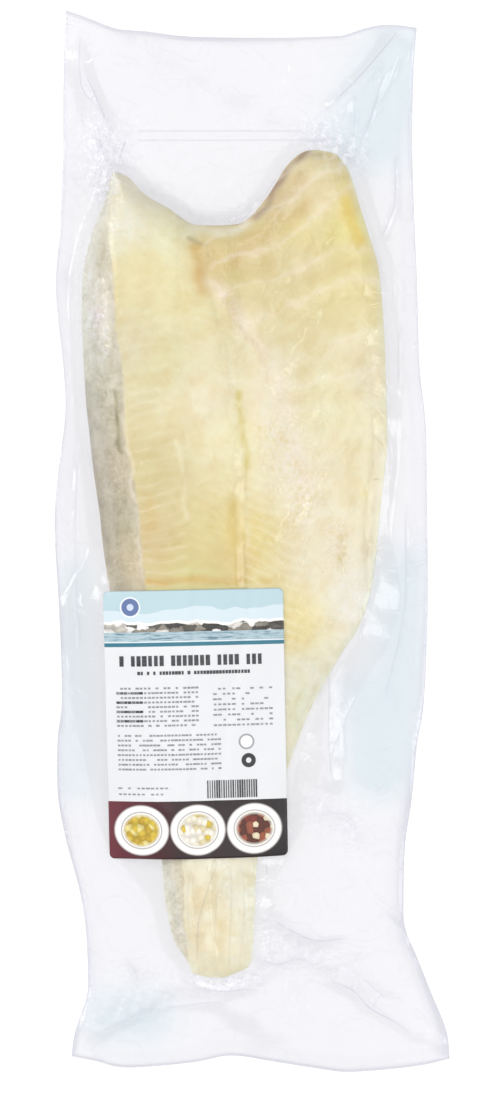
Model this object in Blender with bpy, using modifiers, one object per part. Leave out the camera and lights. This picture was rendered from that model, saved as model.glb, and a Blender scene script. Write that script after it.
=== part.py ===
"""A whole side of lutefisk, vacuum-packed in a clear film pouch with a paper label, lying flesh side up.

The pouch drawn tight over the fish is one solid: its flat underside rests on the table, the swell of the
side stands up in its middle, and the two closed films run out round it as a thin, wavy margin.
Metres, +Z up, tail towards -Y. The origin is on the table, under the middle of the pouch.
"""

import math

import bmesh
import bpy
import numpy as np
from mathutils.bvhtree import BVHTree

# The pouch: 220 mm wide and 594 mm long over its corners. Points run tail to head, or left to right.
POUCH_LEFT = [
    (-0.1010, -0.2880), (-0.0990, -0.2745), (-0.0925, -0.2550), (-0.0920, -0.2405), (-0.0935, -0.2135),
    (-0.0975, -0.1920), (-0.1045, -0.1665), (-0.1090, -0.1415), (-0.1090, -0.1105), (-0.1065, -0.0870),
    (-0.1085, -0.0330), (-0.1105, 0.0025), (-0.1100, 0.0250), (-0.1075, 0.0475), (-0.1045, 0.0735),
    (-0.1060, 0.1015), (-0.1100, 0.1410), (-0.1075, 0.1755), (-0.1060, 0.2135), (-0.1055, 0.2550),
    (-0.1040, 0.2970),
]
POUCH_RIGHT = [
    (0.1105, -0.2890), (0.1085, -0.2730), (0.1005, -0.2530), (0.0925, -0.2330), (0.0860, -0.2170),
    (0.0850, -0.2010), (0.0860, -0.1700), (0.0895, -0.1450), (0.0925, -0.1140), (0.0965, -0.0890),
    (0.0985, -0.0330), (0.0980, 0.0430), (0.0970, 0.0695), (0.0940, 0.0985), (0.0925, 0.1450),
    (0.0900, 0.2135), (0.0900, 0.2550), (0.0920, 0.2870),
]
POUCH_TAIL = [
    (-0.1010, -0.2880), (-0.0880, -0.2905), (-0.0700, -0.2945), (-0.0340, -0.2920), (-0.0125, -0.2885),
    (0.0110, -0.2915), (0.0380, -0.2955), (0.0560, -0.2970), (0.0925, -0.2930), (0.1105, -0.2890),
]
POUCH_HEAD = [
    (-0.1040, 0.2970), (-0.0925, 0.2930), (-0.0760, 0.2870), (-0.0605, 0.2860), (-0.0345, 0.2835),
    (0.0100, 0.2825), (0.0455, 0.2830), (0.0530, 0.2840), (0.0645, 0.2875), (0.0755, 0.2890),
    (0.0920, 0.2870),
]

# The side of fish: 170 mm across the belly, 463 mm from the tail to the tip of the belly lobe.
FISH_LEFT = [
    (-0.0330, -0.2420), (-0.0365, -0.2345), (-0.0440, -0.2220), (-0.0485, -0.2000), (-0.0505, -0.1785),
    (-0.0555, -0.1505), (-0.0610, -0.1225), (-0.0680, -0.0890), (-0.0740, -0.0550), (-0.0795, -0.0265),
    (-0.0830, -0.0030), (-0.0850, 0.0160), (-0.0885, 0.0405), (-0.0905, 0.0590), (-0.0925, 0.0780),
    (-0.0945, 0.1130), (-0.0950, 0.1295), (-0.0940, 0.1500), (-0.0895, 0.1705), (-0.0830, 0.1870),
    (-0.0795, 0.1990), (-0.0775, 0.2060),
]
FISH_RIGHT = [
    (-0.0050, -0.2400), (-0.0005, -0.2345), (0.0015, -0.2080), (0.0030, -0.1785), (0.0100, -0.1530),
    (0.0195, -0.1275), (0.0300, -0.0995), (0.0380, -0.0835), (0.0510, -0.0610), (0.0590, -0.0490),
    (0.0650, -0.0330), (0.0690, -0.0105), (0.0715, 0.0160), (0.0750, 0.0470), (0.0755, 0.0660),
    (0.0740, 0.1130), (0.0710, 0.1500), (0.0670, 0.1655), (0.0600, 0.1880), (0.0540, 0.2070),
    (0.0470, 0.2165),
]
FISH_TAIL = [(-0.0330, -0.2420), (-0.0235, -0.2440), (-0.0160, -0.2440), (-0.0050, -0.2400)]
FISH_NOTCH = [
    (-0.0775, 0.2060), (-0.0735, 0.2050), (-0.0685, 0.2025), (-0.0595, 0.1930), (-0.0460, 0.1850),
    (-0.0360, 0.1780), (-0.0275, 0.1760), (-0.0075, 0.1770), (0.0010, 0.1830), (0.0100, 0.1945),
    (0.0175, 0.2070), (0.0235, 0.2140), (0.0300, 0.2180), (0.0385, 0.2185), (0.0470, 0.2165),
]

# Thickness of the flesh along the loin, from the tail (0) to the head (1), and what is left of it at the belly.
LOIN_ALONG = [0.0, 0.08, 0.20, 0.38, 0.58, 0.78, 0.92, 1.0]
LOIN_THICK = [0.009, 0.013, 0.018, 0.025, 0.031, 0.034, 0.030, 0.025]
BELLY_SHARE = [0.85, 0.82, 0.72, 0.52, 0.40, 0.42, 0.55, 0.62]
LOIN_CREST = 0.30  # where the loin is thickest, as a share of the side's width
BONE_LINE = 0.53  # the furrow where the backbone lay
BONE_FURROW = 0.0024
BONE_HALF_WIDTH = 0.035
LOIN_STEP = 0.0007  # the outer band of the loin stands a little over the next one
LOIN_STEP_AT = 0.33

# How the edges of the side round over, and how the film runs down off them.
FLANK_ROUND = 0.021  # the skin-covered back, on the left
BELLY_ROUND = 0.012
NOTCH_ROUND = 0.013
FILM_TENT = 0.008  # how far outside the fish the two films meet
FILM_FOOT_POWER = 1.3
FILM_CROWN_POWER = 2.4
UNDERSIDE_ROUND = 0.010

# The margin of two closed films. Real film is under 0.2 mm a pair, and 0.8 mm is its stand-in here.
FILM_PAIR = 0.0008
SEAM_LIFT = 0.0042  # the films meet this high beside the thick part of the fish
SEAM_FALL = 0.016
WAVE_LIFT = 0.0024
WAVE_LENGTH = 0.092
WAVE_REACH = 0.028
CORNER_CURL = [((-0.104, 0.297), 0.007), ((0.092, 0.287), 0.009), ((-0.101, -0.288), 0.005), ((0.110, -0.289), 0.008)]
CORNER_REACH = 0.048
# Long creases in the margin: start, end, height and half width.
CREASES = [
    ((0.045, -0.236), (0.106, -0.279), 0.0026, 0.0060),
    ((0.004, -0.208), (0.055, -0.230), 0.0018, 0.0055),
    ((0.083, 0.275), (0.046, 0.225), 0.0024, 0.0070),
    ((-0.098, 0.270), (-0.080, 0.215), 0.0022, 0.0060),
    ((0.028, -0.084), (0.030, -0.134), 0.0022, 0.0055),
    ((-0.088, -0.274), (-0.050, -0.250), 0.0016, 0.0060),
]

# The label: a 100 x 150 mm paper sticker, turned a little, that holds the film up where it bridges the flank.
LABEL_WIDTH = 0.100
LABEL_LENGTH = 0.150
LABEL_CENTRE = (-0.0313, -0.1018)
LABEL_TURN = math.radians(1.15)
LABEL_CORNER = 0.003
LABEL_THICK = 0.0004
LABEL_GAP = 0.0004
LABEL_TENT = (0.032, 0.020)  # the film's reach beyond the back, and beyond the belly
LABEL_FADE = 0.045

# Cells across and along: margin, fish, margin.
COLUMNS = (7, 20, 7)
ROWS = (9, 68, 11)
LABEL_CELLS = (12, 18)
# Where the fish's corner lines meet the pouch's edges, as shares of their lengths.
SPLIT_LEFT = (0.088, 0.842)
SPLIT_RIGHT = (0.100, 0.880)
SPLIT_TAIL = (0.270, 0.520)
SPLIT_HEAD = (0.130, 0.790)


class Line:
    """A smooth plan curve through its control points, read by its share of arc length."""

    def __init__(self, points, steps=16):
        p = np.array(points, float)
        if len(p) > 2:
            padded = np.vstack([2 * p[0] - p[1], p, 2 * p[-1] - p[-2]])
            t = np.linspace(0, 1, steps, endpoint=False)[:, None]
            spans = [self.span(*padded[i : i + 4], t) for i in range(len(p) - 1)]
            p = np.vstack(spans + [p[-1:]])
        self.points = p
        run = np.concatenate([[0], np.cumsum(np.linalg.norm(np.diff(p, axis=0), axis=1))])
        self.share = run / run[-1]

    @staticmethod
    def span(a, b, c, d, t):
        """One Catmull-Rom span, from b to c."""
        return 0.5 * (2 * b + (c - a) * t + (2 * a - 5 * b + 4 * c - d) * t**2 + (3 * b - a - 3 * c + d) * t**3)

    def at(self, share):
        return np.stack([np.interp(share, self.share, self.points[:, k]) for k in (0, 1)], axis=-1)

    def part(self, start, end):
        """The stretch of the line between two shares, as a line of its own."""
        inner = (self.share > start) & (self.share < end)
        return Line(np.vstack([self.at(start), self.points[inner], self.at(end)]), steps=1)


def coons(tail, head, left, right, u, v):
    """Points of the patch between four lines, for u from left to right and v from tail to head."""
    u, v = u[..., None], v[..., None]
    ruled_v = (1 - v) * tail.at(u[..., 0]) + v * head.at(u[..., 0])
    ruled_u = (1 - u) * left.at(v[..., 0]) + u * right.at(v[..., 0])
    corners = (1 - v) * ((1 - u) * tail.at(0.0) + u * tail.at(1.0)) + v * ((1 - u) * head.at(0.0) + u * head.at(1.0))
    return ruled_v + ruled_u - corners


def smoothstep(x):
    x = np.clip(x, 0, 1)
    return x * x * (3 - 2 * x)


def signed_distance(points, outline):
    """Distance to a closed outline, positive inside it."""
    starts = outline
    ends = np.roll(outline, -1, axis=0)
    nearest = np.full(len(points), np.inf)
    inside = np.zeros(len(points), bool)
    for a, b in zip(starts, ends):
        along = b - a
        share = np.clip(((points - a) @ along) / max(along @ along, 1e-12), 0, 1)
        nearest = np.minimum(nearest, np.linalg.norm(points - a - share[:, None] * along, axis=1))
        crosses = (a[1] > points[:, 1]) != (b[1] > points[:, 1])
        if crosses.any():
            at_x = a[0] + (points[:, 1] - a[1]) * along[0] / (along[1] if along[1] else 1e-12)
            inside ^= crosses & (points[:, 0] < at_x)
    return np.where(inside, nearest, -nearest)


pouch_left = Line(POUCH_LEFT)
pouch_right = Line(POUCH_RIGHT)
pouch_tail = Line(POUCH_TAIL)
pouch_head = Line(POUCH_HEAD)
fish_left = Line(FISH_LEFT)
fish_right = Line(FISH_RIGHT)
fish_tail = Line(FISH_TAIL)
fish_notch = Line(FISH_NOTCH)
fish_outline = np.vstack(
    [fish_tail.points[:-1], fish_right.points[:-1], fish_notch.points[:0:-1], fish_left.points[:0:-1]]
)


def fish_place(points):
    """Where points lie on the side: across from back (0) to belly (1), and along from tail (0) to head (1)."""
    x, y = points[:, 0], points[:, 1]
    left = np.interp(y, fish_left.points[:, 1], fish_left.points[:, 0])
    right = np.interp(y, fish_right.points[:, 1], fish_right.points[:, 0])
    across = np.clip((x - left) / (right - left), 0, 1)
    along = np.clip((y - FISH_TAIL[1][1]) / (FISH_RIGHT[-1][1] - FISH_TAIL[1][1]), 0, 1)
    return across, along


def flesh_thickness(across, along):
    """Height of the flesh over the table, before its edges round over."""
    loin = np.interp(along, LOIN_ALONG, LOIN_THICK)
    belly = loin * np.interp(along, LOIN_ALONG, BELLY_SHARE)
    fall = smoothstep((across - LOIN_CREST) / (1 - LOIN_CREST))
    thick = loin + (belly - loin) * fall
    ends = smoothstep(along / 0.1) * smoothstep((1 - along) / 0.12)
    furrow = np.exp(-(((across - BONE_LINE) / BONE_HALF_WIDTH) ** 2))
    step = smoothstep((LOIN_STEP_AT - across) / 0.03)
    return thick - BONE_FURROW * furrow * ends + LOIN_STEP * step * ends


def crease_height(points):
    """Height of the long creases in the margin."""
    total = np.zeros(len(points))
    for start, end, height, half_width in CREASES:
        a, b = np.array(start), np.array(end)
        along = b - a
        share = ((points - a) @ along) / (along @ along)
        gap = np.linalg.norm(points - a - np.clip(share, 0, 1)[:, None] * along, axis=1)
        total += height * np.exp(-((gap / half_width) ** 2))
    return total


def margin_lift(points, outside):
    """Height of the lower film over the table, beside the fish and out to the pouch's edge."""
    x, y = points[:, 0], points[:, 1]
    far = smoothstep(outside / WAVE_REACH)
    wave = 0.5 + 0.5 * np.sin(2 * math.pi * (y + 0.35 * x) / WAVE_LENGTH + 1.9 * np.tanh(x / 0.03))
    lift = SEAM_LIFT * np.exp(-outside / SEAM_FALL) + WAVE_LIFT * wave * far
    for corner, height in CORNER_CURL:
        lift += height * np.exp(-np.sum((points - corner) ** 2, axis=1) / CORNER_REACH**2)
    return lift + crease_height(points) * smoothstep(outside / 0.004)


def label_place(points):
    """Points in the label's own axes: across and up it, from its centre."""
    turned = points - np.array(LABEL_CENTRE)
    c, s = math.cos(LABEL_TURN), math.sin(LABEL_TURN)
    return np.stack([turned[:, 0] * c + turned[:, 1] * s, -turned[:, 0] * s + turned[:, 1] * c], axis=1)


def tent_width(points, across):
    """How far outside the fish the two films meet: further where the label bridges the side's edge."""
    past = np.abs(label_place(points)[:, 1]) - LABEL_LENGTH / 2
    beside = 1 - smoothstep((past + LABEL_FADE / 3) / LABEL_FADE)
    widest = LABEL_TENT[0] + (LABEL_TENT[1] - LABEL_TENT[0]) * smoothstep(across)
    return FILM_TENT + (widest - FILM_TENT) * beside


def edge_round(across, along):
    """How far in from its outline the side reaches its full thickness."""
    flank = FLANK_ROUND + (BELLY_ROUND - FLANK_ROUND) * smoothstep((across - 0.2) / 0.5)
    return flank + (NOTCH_ROUND - flank) * smoothstep((along - 0.86) / 0.08)


def film_heights(points):
    """Heights of the upper and the lower film over the table at plan points."""
    inward = signed_distance(points, fish_outline)
    across, along = fish_place(points)
    lift = margin_lift(points, np.clip(-inward, 0, None))
    tent = tent_width(points, across)
    rise = np.clip((inward + tent) / (edge_round(across, along) + tent), 0, 1)
    crown = 1 - (1 - rise**FILM_FOOT_POWER) ** FILM_CROWN_POWER
    foot = lift + FILM_PAIR
    upper = foot + (flesh_thickness(across, along) + FILM_PAIR - foot) * crown
    lower = lift * smoothstep(1 - inward / UNDERSIDE_ROUND)
    return upper, lower


def spread(cells, power, towards_end):
    """Shares from 0 to 1, closer together towards one end."""
    t = np.linspace(0, 1, cells + 1)
    return 1 - (1 - t) ** power if towards_end else t**power


def gathered(cells):
    """Shares from 0 to 1, closer together towards both ends."""
    t = np.linspace(0, 1, cells + 1)
    return t + 0.75 * (smoothstep(t) - t)


def plan_grid():
    """Plan points of the pouch's grid, whose lines follow the fish's outline, by row and column."""
    l0, l1 = SPLIT_LEFT
    r0, r1 = SPLIT_RIGHT
    t0, t1 = SPLIT_TAIL
    h0, h1 = SPLIT_HEAD
    tail_parts = [pouch_tail.part(0, t0), pouch_tail.part(t0, t1), pouch_tail.part(t1, 1)]
    head_parts = [pouch_head.part(0, h0), pouch_head.part(h0, h1), pouch_head.part(h1, 1)]
    left_parts = [pouch_left.part(0, l0), pouch_left.part(l0, l1), pouch_left.part(l1, 1)]
    right_parts = [pouch_right.part(0, r0), pouch_right.part(r0, r1), pouch_right.part(r1, 1)]
    straight = lambda a, b: Line([a, b])
    tail_row = [
        straight(pouch_left.at(l0), fish_left.at(0.0)), fish_tail, straight(fish_right.at(0.0), pouch_right.at(r0)),
    ]
    head_row = [
        straight(pouch_left.at(l1), fish_left.at(1.0)), fish_notch, straight(fish_right.at(1.0), pouch_right.at(r1)),
    ]
    left_column = [
        straight(pouch_tail.at(t0), fish_left.at(0.0)), fish_left, straight(fish_left.at(1.0), pouch_head.at(h0)),
    ]
    right_column = [
        straight(pouch_tail.at(t1), fish_right.at(0.0)), fish_right, straight(fish_right.at(1.0), pouch_head.at(h1)),
    ]
    rows_of_lines = [tail_parts, tail_row, head_row, head_parts]
    columns_of_lines = [left_parts, left_column, right_column, right_parts]
    u_shares = [spread(COLUMNS[0], 1.7, True), gathered(COLUMNS[1]), spread(COLUMNS[2], 1.7, False)]
    v_shares = [spread(ROWS[0], 1.5, True), gathered(ROWS[1]), spread(ROWS[2], 1.5, False)]
    grid = np.zeros((sum(ROWS) + 1, sum(COLUMNS) + 1, 2))
    for j in range(3):
        for i in range(3):
            v, u = np.meshgrid(v_shares[j], u_shares[i], indexing="ij")
            patch = coons(
                rows_of_lines[j][i], rows_of_lines[j + 1][i], columns_of_lines[i][j], columns_of_lines[i + 1][j], u, v
            )
            row, column = sum(ROWS[:j]), sum(COLUMNS[:i])
            grid[row : row + ROWS[j] + 1, column : column + COLUMNS[i] + 1] = patch
    return grid


def flat_grid(columns, rows):
    """A triangulated grid in a new bmesh, and each vertex's row and column."""
    bm = bmesh.new()
    bmesh.ops.create_grid(bm, x_segments=columns, y_segments=rows, size=1.0)
    bm.verts.ensure_lookup_table()
    cell = np.array([[(v.co.x + 1) / 2 * columns, (v.co.y + 1) / 2 * rows] for v in bm.verts])
    cell = np.rint(cell).astype(int)
    bmesh.ops.triangulate(bm, faces=bm.faces)
    return bm, cell[:, 1], cell[:, 0]


def place_vertices(verts, points, heights):
    for vertex, point, height in zip(verts, points, heights):
        vertex.co = (point[0], point[1], height)


def merge_flat_underside(bm):
    """Makes the flat rest under the fish a few large faces."""
    flat = {f for f in bm.faces if all(v.co.z < 1e-6 for v in f.verts)}
    inner = [e for e in bm.edges if e.is_manifold and all(f in flat for f in e.link_faces)]
    corners = {v for f in flat for v in f.verts}
    bmesh.ops.dissolve_limit(bm, angle_limit=math.radians(0.1), verts=list(corners), edges=inner)
    bmesh.ops.triangulate(bm, faces=[f for f in bm.faces if len(f.verts) > 3])


def make_material(name, colour, roughness, alpha=1.0):
    material = bpy.data.materials.new(name)
    material.use_nodes = True
    shader = material.node_tree.nodes["Principled BSDF"]
    shader.inputs["Base Color"].default_value = (*colour, 1.0)
    shader.inputs["Roughness"].default_value = roughness
    shader.inputs["Metallic"].default_value = 0.0
    shader.inputs["Alpha"].default_value = alpha
    material.diffuse_color = (*colour, alpha)
    return material


def make_object(name, bm, materials, collection):
    mesh = bpy.data.meshes.new(name)
    bm.to_mesh(mesh)
    bm.free()
    for material in materials:
        mesh.materials.append(material)
    obj = bpy.data.objects.new(name, mesh)
    collection.objects.link(obj)
    mesh.shade_smooth()
    mesh.set_sharp_from_angle(angle=math.radians(40))
    return obj


def make_pouch(collection):
    """The sealed pouch with the side of fish in it, as one solid."""
    bm, row, column = flat_grid(sum(COLUMNS), sum(ROWS))
    points = plan_grid()[row, column]
    upper, lower = film_heights(points)
    place_vertices(bm.verts, points, upper)
    top_faces = list(bm.faces)
    copied = bmesh.ops.duplicate(bm, geom=list(bm.verts) + list(bm.edges) + top_faces)
    under_verts = [g for g in copied["geom"] if isinstance(g, bmesh.types.BMVert)]
    under_faces = [g for g in copied["geom"] if isinstance(g, bmesh.types.BMFace)]
    place_vertices(under_verts, points, lower)
    bmesh.ops.reverse_faces(bm, faces=under_faces)
    rims = [e for e in bm.edges if e.is_boundary]
    bmesh.ops.bridge_loops(bm, edges=rims)
    merge_flat_underside(bm)
    bmesh.ops.recalc_face_normals(bm, faces=bm.faces)
    flesh = make_material("lutefisk_flesh", (0.83, 0.75, 0.52), 0.25)
    skin = make_material("cod_skin", (0.48, 0.46, 0.40), 0.25)
    film = make_material("clear_film", (0.86, 0.86, 0.93), 0.12, alpha=0.6)
    bm.faces.ensure_lookup_table()
    middles = np.array([f.calc_center_median()[:2] for f in bm.faces])
    inward = signed_distance(middles, fish_outline)
    across, along = fish_place(middles)
    for face, depth, side in zip(bm.faces, inward, across):
        if depth < 0:
            face.material_index = 2
        elif face.normal.z < 0 or side < 0.17:
            face.material_index = 1
    return make_object("vacuum_pouch", bm, [flesh, skin, film], collection)


def rounded_place(place):
    """Pulls the corner of the label's rectangle in to its round corner."""
    inner = np.array([LABEL_WIDTH, LABEL_LENGTH]) / 2 - LABEL_CORNER
    past = np.clip(np.abs(place) - inner, 0, None)
    length = np.linalg.norm(past, axis=1)
    pull = np.where(length > 0, past.max(axis=1) / np.maximum(length, 1e-12), 1.0)
    return np.sign(place) * (np.minimum(np.abs(place), inner) + past * pull[:, None])


def clear_the_pouch(bm, pouch):
    """Lifts each of the label's triangles that comes closer to the pouch than the gap."""
    corners = [v.co for v in pouch.data.vertices]
    surface = BVHTree.FromPolygons(corners, [f.vertices for f in pouch.data.polygons])
    raised = [0.0] * len(bm.verts)
    bm.verts.index_update()
    inside = [(i / 6, j / 6) for i in range(7) for j in range(7 - i)]
    for face in bm.faces:
        a, b, c = face.verts
        short = 0.0
        for s, t in inside:
            point = a.co + (b.co - a.co) * s + (c.co - a.co) * t
            place = surface.ray_cast((point.x, point.y, 1.0), (0, 0, -1))[0]
            if place:
                short = max(short, place.z + LABEL_GAP - point.z)
        for vertex in (a, b, c):
            raised[vertex.index] = max(raised[vertex.index], short)
    for vertex in bm.verts:
        vertex.co.z += raised[vertex.index]


def make_label(collection, pouch):
    """The paper sticker, bent to the film that it is stuck on."""
    bm, row, column = flat_grid(*LABEL_CELLS)
    share = np.stack([column / LABEL_CELLS[0], row / LABEL_CELLS[1]], axis=1) - 0.5
    place = rounded_place(share * np.array([LABEL_WIDTH, LABEL_LENGTH]))
    c, s = math.cos(LABEL_TURN), math.sin(LABEL_TURN)
    points = np.stack([place[:, 0] * c - place[:, 1] * s, place[:, 0] * s + place[:, 1] * c], axis=1)
    points += np.array(LABEL_CENTRE)
    place_vertices(bm.verts, points, film_heights(points)[0] + LABEL_GAP)
    clear_the_pouch(bm, pouch)
    paper = make_material("label_paper", (0.90, 0.90, 0.91), 0.45)
    label = make_object("label", bm, [paper], collection)
    thickness = label.modifiers.new("paper", "SOLIDIFY")
    thickness.thickness = LABEL_THICK
    thickness.offset = 1.0
    return label


def main():
    for obj in list(bpy.data.objects):
        bpy.data.objects.remove(obj)
    collection = bpy.data.collections.new("packed_lutefisk")
    bpy.context.scene.collection.children.link(collection)
    pouch = make_pouch(collection)
    make_label(collection, pouch)


main()
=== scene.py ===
"""A whole side of lutefisk, vacuum-packed in clear film with a paper label, seen from straight above.

The pouch's solid is replaced by what it stands for: a film of two closed sheets, drawn tight over the side
of fish, and the side itself with its flakes, its furrow and its skin. Metres, +Z up, tail towards -Y. Lists
of plan points are in millimetres, with the heights and widths in them.
"""

import math
from functools import partial

import bpy
import numpy as np
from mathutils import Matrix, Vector


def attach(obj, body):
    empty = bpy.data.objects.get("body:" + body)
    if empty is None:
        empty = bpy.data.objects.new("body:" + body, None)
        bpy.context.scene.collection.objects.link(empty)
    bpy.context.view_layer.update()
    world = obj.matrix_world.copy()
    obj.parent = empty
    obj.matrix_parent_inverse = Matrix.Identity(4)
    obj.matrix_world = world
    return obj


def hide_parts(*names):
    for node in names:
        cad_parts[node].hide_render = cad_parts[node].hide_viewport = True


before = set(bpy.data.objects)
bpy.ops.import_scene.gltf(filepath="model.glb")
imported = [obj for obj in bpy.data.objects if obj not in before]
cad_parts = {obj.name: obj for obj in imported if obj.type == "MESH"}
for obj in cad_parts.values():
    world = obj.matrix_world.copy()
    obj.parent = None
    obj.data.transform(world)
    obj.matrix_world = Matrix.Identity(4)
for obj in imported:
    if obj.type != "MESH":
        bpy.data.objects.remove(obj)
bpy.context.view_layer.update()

MM = 0.001


def metres(points):
    return np.array(points, float) * MM


# The pouch's outline and the side's, from the tail to the head or from left to right.
POUCH_LEFT = metres([
    (-101, -288), (-99, -274.5), (-92.5, -255), (-92, -240.5), (-93.5, -213.5), (-97.5, -192),
    (-104.5, -166.5), (-109, -141.5), (-109, -110.5), (-106.5, -87), (-108.5, -33), (-110.5, 2.5),
    (-110, 25), (-107.5, 47.5), (-104.5, 73.5), (-106, 101.5), (-110, 141), (-107.5, 175.5), (-106, 213.5),
    (-105.5, 255), (-104, 297),
])
POUCH_RIGHT = metres([
    (110.5, -289), (108.5, -273), (100.5, -253), (92.5, -233), (86, -217), (85, -201), (86, -170),
    (89.5, -145), (92.5, -114), (96.5, -89), (98.5, -33), (98, 43), (97, 69.5), (94, 98.5), (92.5, 145),
    (90, 213.5), (90, 255), (92, 287),
])
POUCH_TAIL = metres([
    (-101, -288), (-88, -290.5), (-70, -294.5), (-34, -292), (-12.5, -288.5), (11, -291.5), (38, -295.5),
    (56, -297), (92.5, -293), (110.5, -289),
])
POUCH_HEAD = metres([
    (-104, 297), (-92.5, 293), (-76, 287), (-60.5, 286), (-34.5, 283.5), (10, 282.5), (45.5, 283),
    (53, 284), (64.5, 287.5), (75.5, 289), (92, 287),
])
FISH_LEFT = metres([
    (-33, -242), (-36.5, -234.5), (-44, -222), (-48.5, -200), (-50.5, -178.5), (-55.5, -150.5),
    (-61, -122.5), (-68, -89), (-74, -55), (-79.5, -26.5), (-83, -3), (-85, 16), (-88.5, 40.5),
    (-90.5, 59), (-92.5, 78), (-94.5, 113), (-95, 129.5), (-94, 150), (-89.5, 170.5), (-83, 187),
    (-79.5, 199), (-77.5, 206),
])
FISH_RIGHT = metres([
    (-5, -240), (-0.5, -234.5), (1.5, -208), (3, -178.5), (10, -153), (19.5, -127.5), (30, -99.5),
    (38, -83.5), (51, -61), (59, -49), (65, -33), (69, -10.5), (71.5, 16), (75, 47), (75.5, 66), (74, 113),
    (71, 150), (67, 165.5), (60, 188), (54, 207), (47, 216.5),
])
FISH_TAIL = metres([(-33, -242), (-23.5, -244), (-16, -244), (-5, -240)])
FISH_NOTCH = metres([
    (-77.5, 206), (-73.5, 205), (-68.5, 202.5), (-59.5, 193), (-46, 185), (-36, 178), (-27.5, 176),
    (-7.5, 177), (1, 183), (10, 194.5), (17.5, 207), (23.5, 214), (30, 218), (38.5, 218.5), (47, 216.5),
])

# Where the skin shows past the flesh, the ridge beside it, the bone's furrow and the seam of the belly flap.
SKIN_EDGE = metres([
    (-36, -240), (-38, -190), (-60, -20), (-62, 10), (-65, 31), (-70, 56), (-72, 100), (-75, 118),
    (-79, 168), (-78.5, 206),
])
RIDGE = metres([(-26, -234), (-31, -89), (-36, 1), (-41.5, 51), (-45, 82), (-47, 135), (-50, 190)])
FURROW = metres([
    (-17, -234), (-9, -122), (-3.5, -27), (-5, 12), (-3.5, 40), (-6.5, 62), (-9, 88), (-21, 135),
    (-29, 157), (-32, 180),
])
SEAM = metres([
    (4, -240), (12, -150), (40, -55), (38, -2), (21, 40), (13, 74), (5.5, 99), (-6.5, 118), (-20.5, 135),
    (-28, 157), (-31, 180),
])

# Thickness of the flesh along the loin, from the tail (0) to the head (1), and its share at the belly.
LOIN_ALONG = [0.0, 0.08, 0.20, 0.38, 0.58, 0.78, 0.92, 1.0]
LOIN_THICK = [0.009, 0.013, 0.018, 0.025, 0.031, 0.034, 0.030, 0.025]
BELLY_SHARE = [0.85, 0.82, 0.72, 0.52, 0.40, 0.42, 0.55, 0.62]
LOIN_CREST = 0.30
LOIN_STEP, LOIN_STEP_AT = 0.0007, 0.33
BONE_LINE, BONE_HALF_WIDTH = 0.53, 0.035
BONE_FURROW = 0.0011  # under the film, which bridges it
FLANK_ROUND, BELLY_ROUND, NOTCH_ROUND, UNDERSIDE_ROUND = 0.021, 0.012, 0.013, 0.010
FLAKE_PITCH, FLAP_PITCH = 0.0062, 0.0128  # of the loin's flakes and the belly flap's
FLAKE_RISE, SEAM_RISE, SKIN_STEP, FURROW_DIP = 0.00034, 0.0002, 0.0009, 0.0009

# How the film leaves the fish, and the margin's swell and curl.
FILM_TENT = 0.008
FILM_FOOT_POWER, FILM_CROWN_POWER = 1.3, 2.4
SEAM_LIFT, SEAM_FALL = 0.0042, 0.016
WAVE_LIFT, WAVE_LENGTH, WAVE_REACH = 0.0024, 0.092, 0.028
CORNER_CURL = [((-104, 297), 7), ((92, 287), 9), ((-101, -288), 5), ((110, -289), 8)]
CORNER_REACH = 0.048
SEAL_WIDTH = 0.0085
SEAL_LINES = [(0.2302, -0.064, 0.028), (0.2250, -0.064, 0.048)]  # height, and from where to where across

# Real film is 0.09 mm a sheet. The two are drawn 0.3 mm apart, so that neither shows through the other.
FILM_PAIR = 0.0003
FILM_OVER_FLESH = 0.00025

LABEL_SIZE = np.array([0.100, 0.150])
LABEL_CENTRE = np.array([-0.0313, -0.1018])
LABEL_TURN = math.radians(1.15)
LABEL_CORNER = 0.003
LABEL_THICK = 0.00025
LABEL_CLEAR = 0.0006
LABEL_TENT = (0.032, 0.020)  # at the back and at the belly
LABEL_FADE = 0.045
# Where the paper buckles up: each a path, a height and a half width.
LABEL_BUCKLES = [
    ([(-50, -112), (-41, -120), (-36, -131)], 0.6, 3), ([(-30, -108), (-24, -122)], 0.5, 2.8),
    ([(-75, -60), (-60, -66)], 0.4, 3.5), ([(-55, -143), (-47, -150)], 0.5, 3),
]

# Cells of the fine meshes, across and along: margin, fish, margin. The undersides have half of these.
FILM_COLUMNS = (30, 100, 30)
FILM_ROWS = (44, 360, 50)
FISH_CELLS = (150, 400)
LABEL_CELLS = (80, 120)
# Where the lines between margin and fish meet the pouch's sides, as shares of their length.
SPLIT_LEFT, SPLIT_RIGHT = (0.088, 0.842), (0.100, 0.880)
SPLIT_TAIL, SPLIT_HEAD = (0.270, 0.520), (0.130, 0.790)

# The soft boxes, the panel overhead, the room, and how much brighter than the tones below the meat is.
SOFTBOX_LEFT, SOFTBOX_RIGHT, OVERHEAD, ROOM_LIGHT = 22.0, 15.0, 19.5, 0.66
FLESH_GAIN = np.array([1.015, 1.07, 1.08])
SKIN_GAIN = np.array([1.03, 1.01, 0.95])

# The picture's size and scale, and its pixel over the part's origin.
PICTURE = (477, 1094)
PIXEL = 0.00056
ORIGIN_PIXEL = (252, 541.5)
CAMERA_HEIGHT = 1.9
SENSOR = 36.0


# Plan curves and distances

def mix(a, b, share):
    return a + (b - a) * share


def smoothstep(x):
    x = np.clip(x, 0, 1)
    return x * x * (3 - 2 * x)


def bell(x):
    return np.exp(-x * x)


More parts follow.
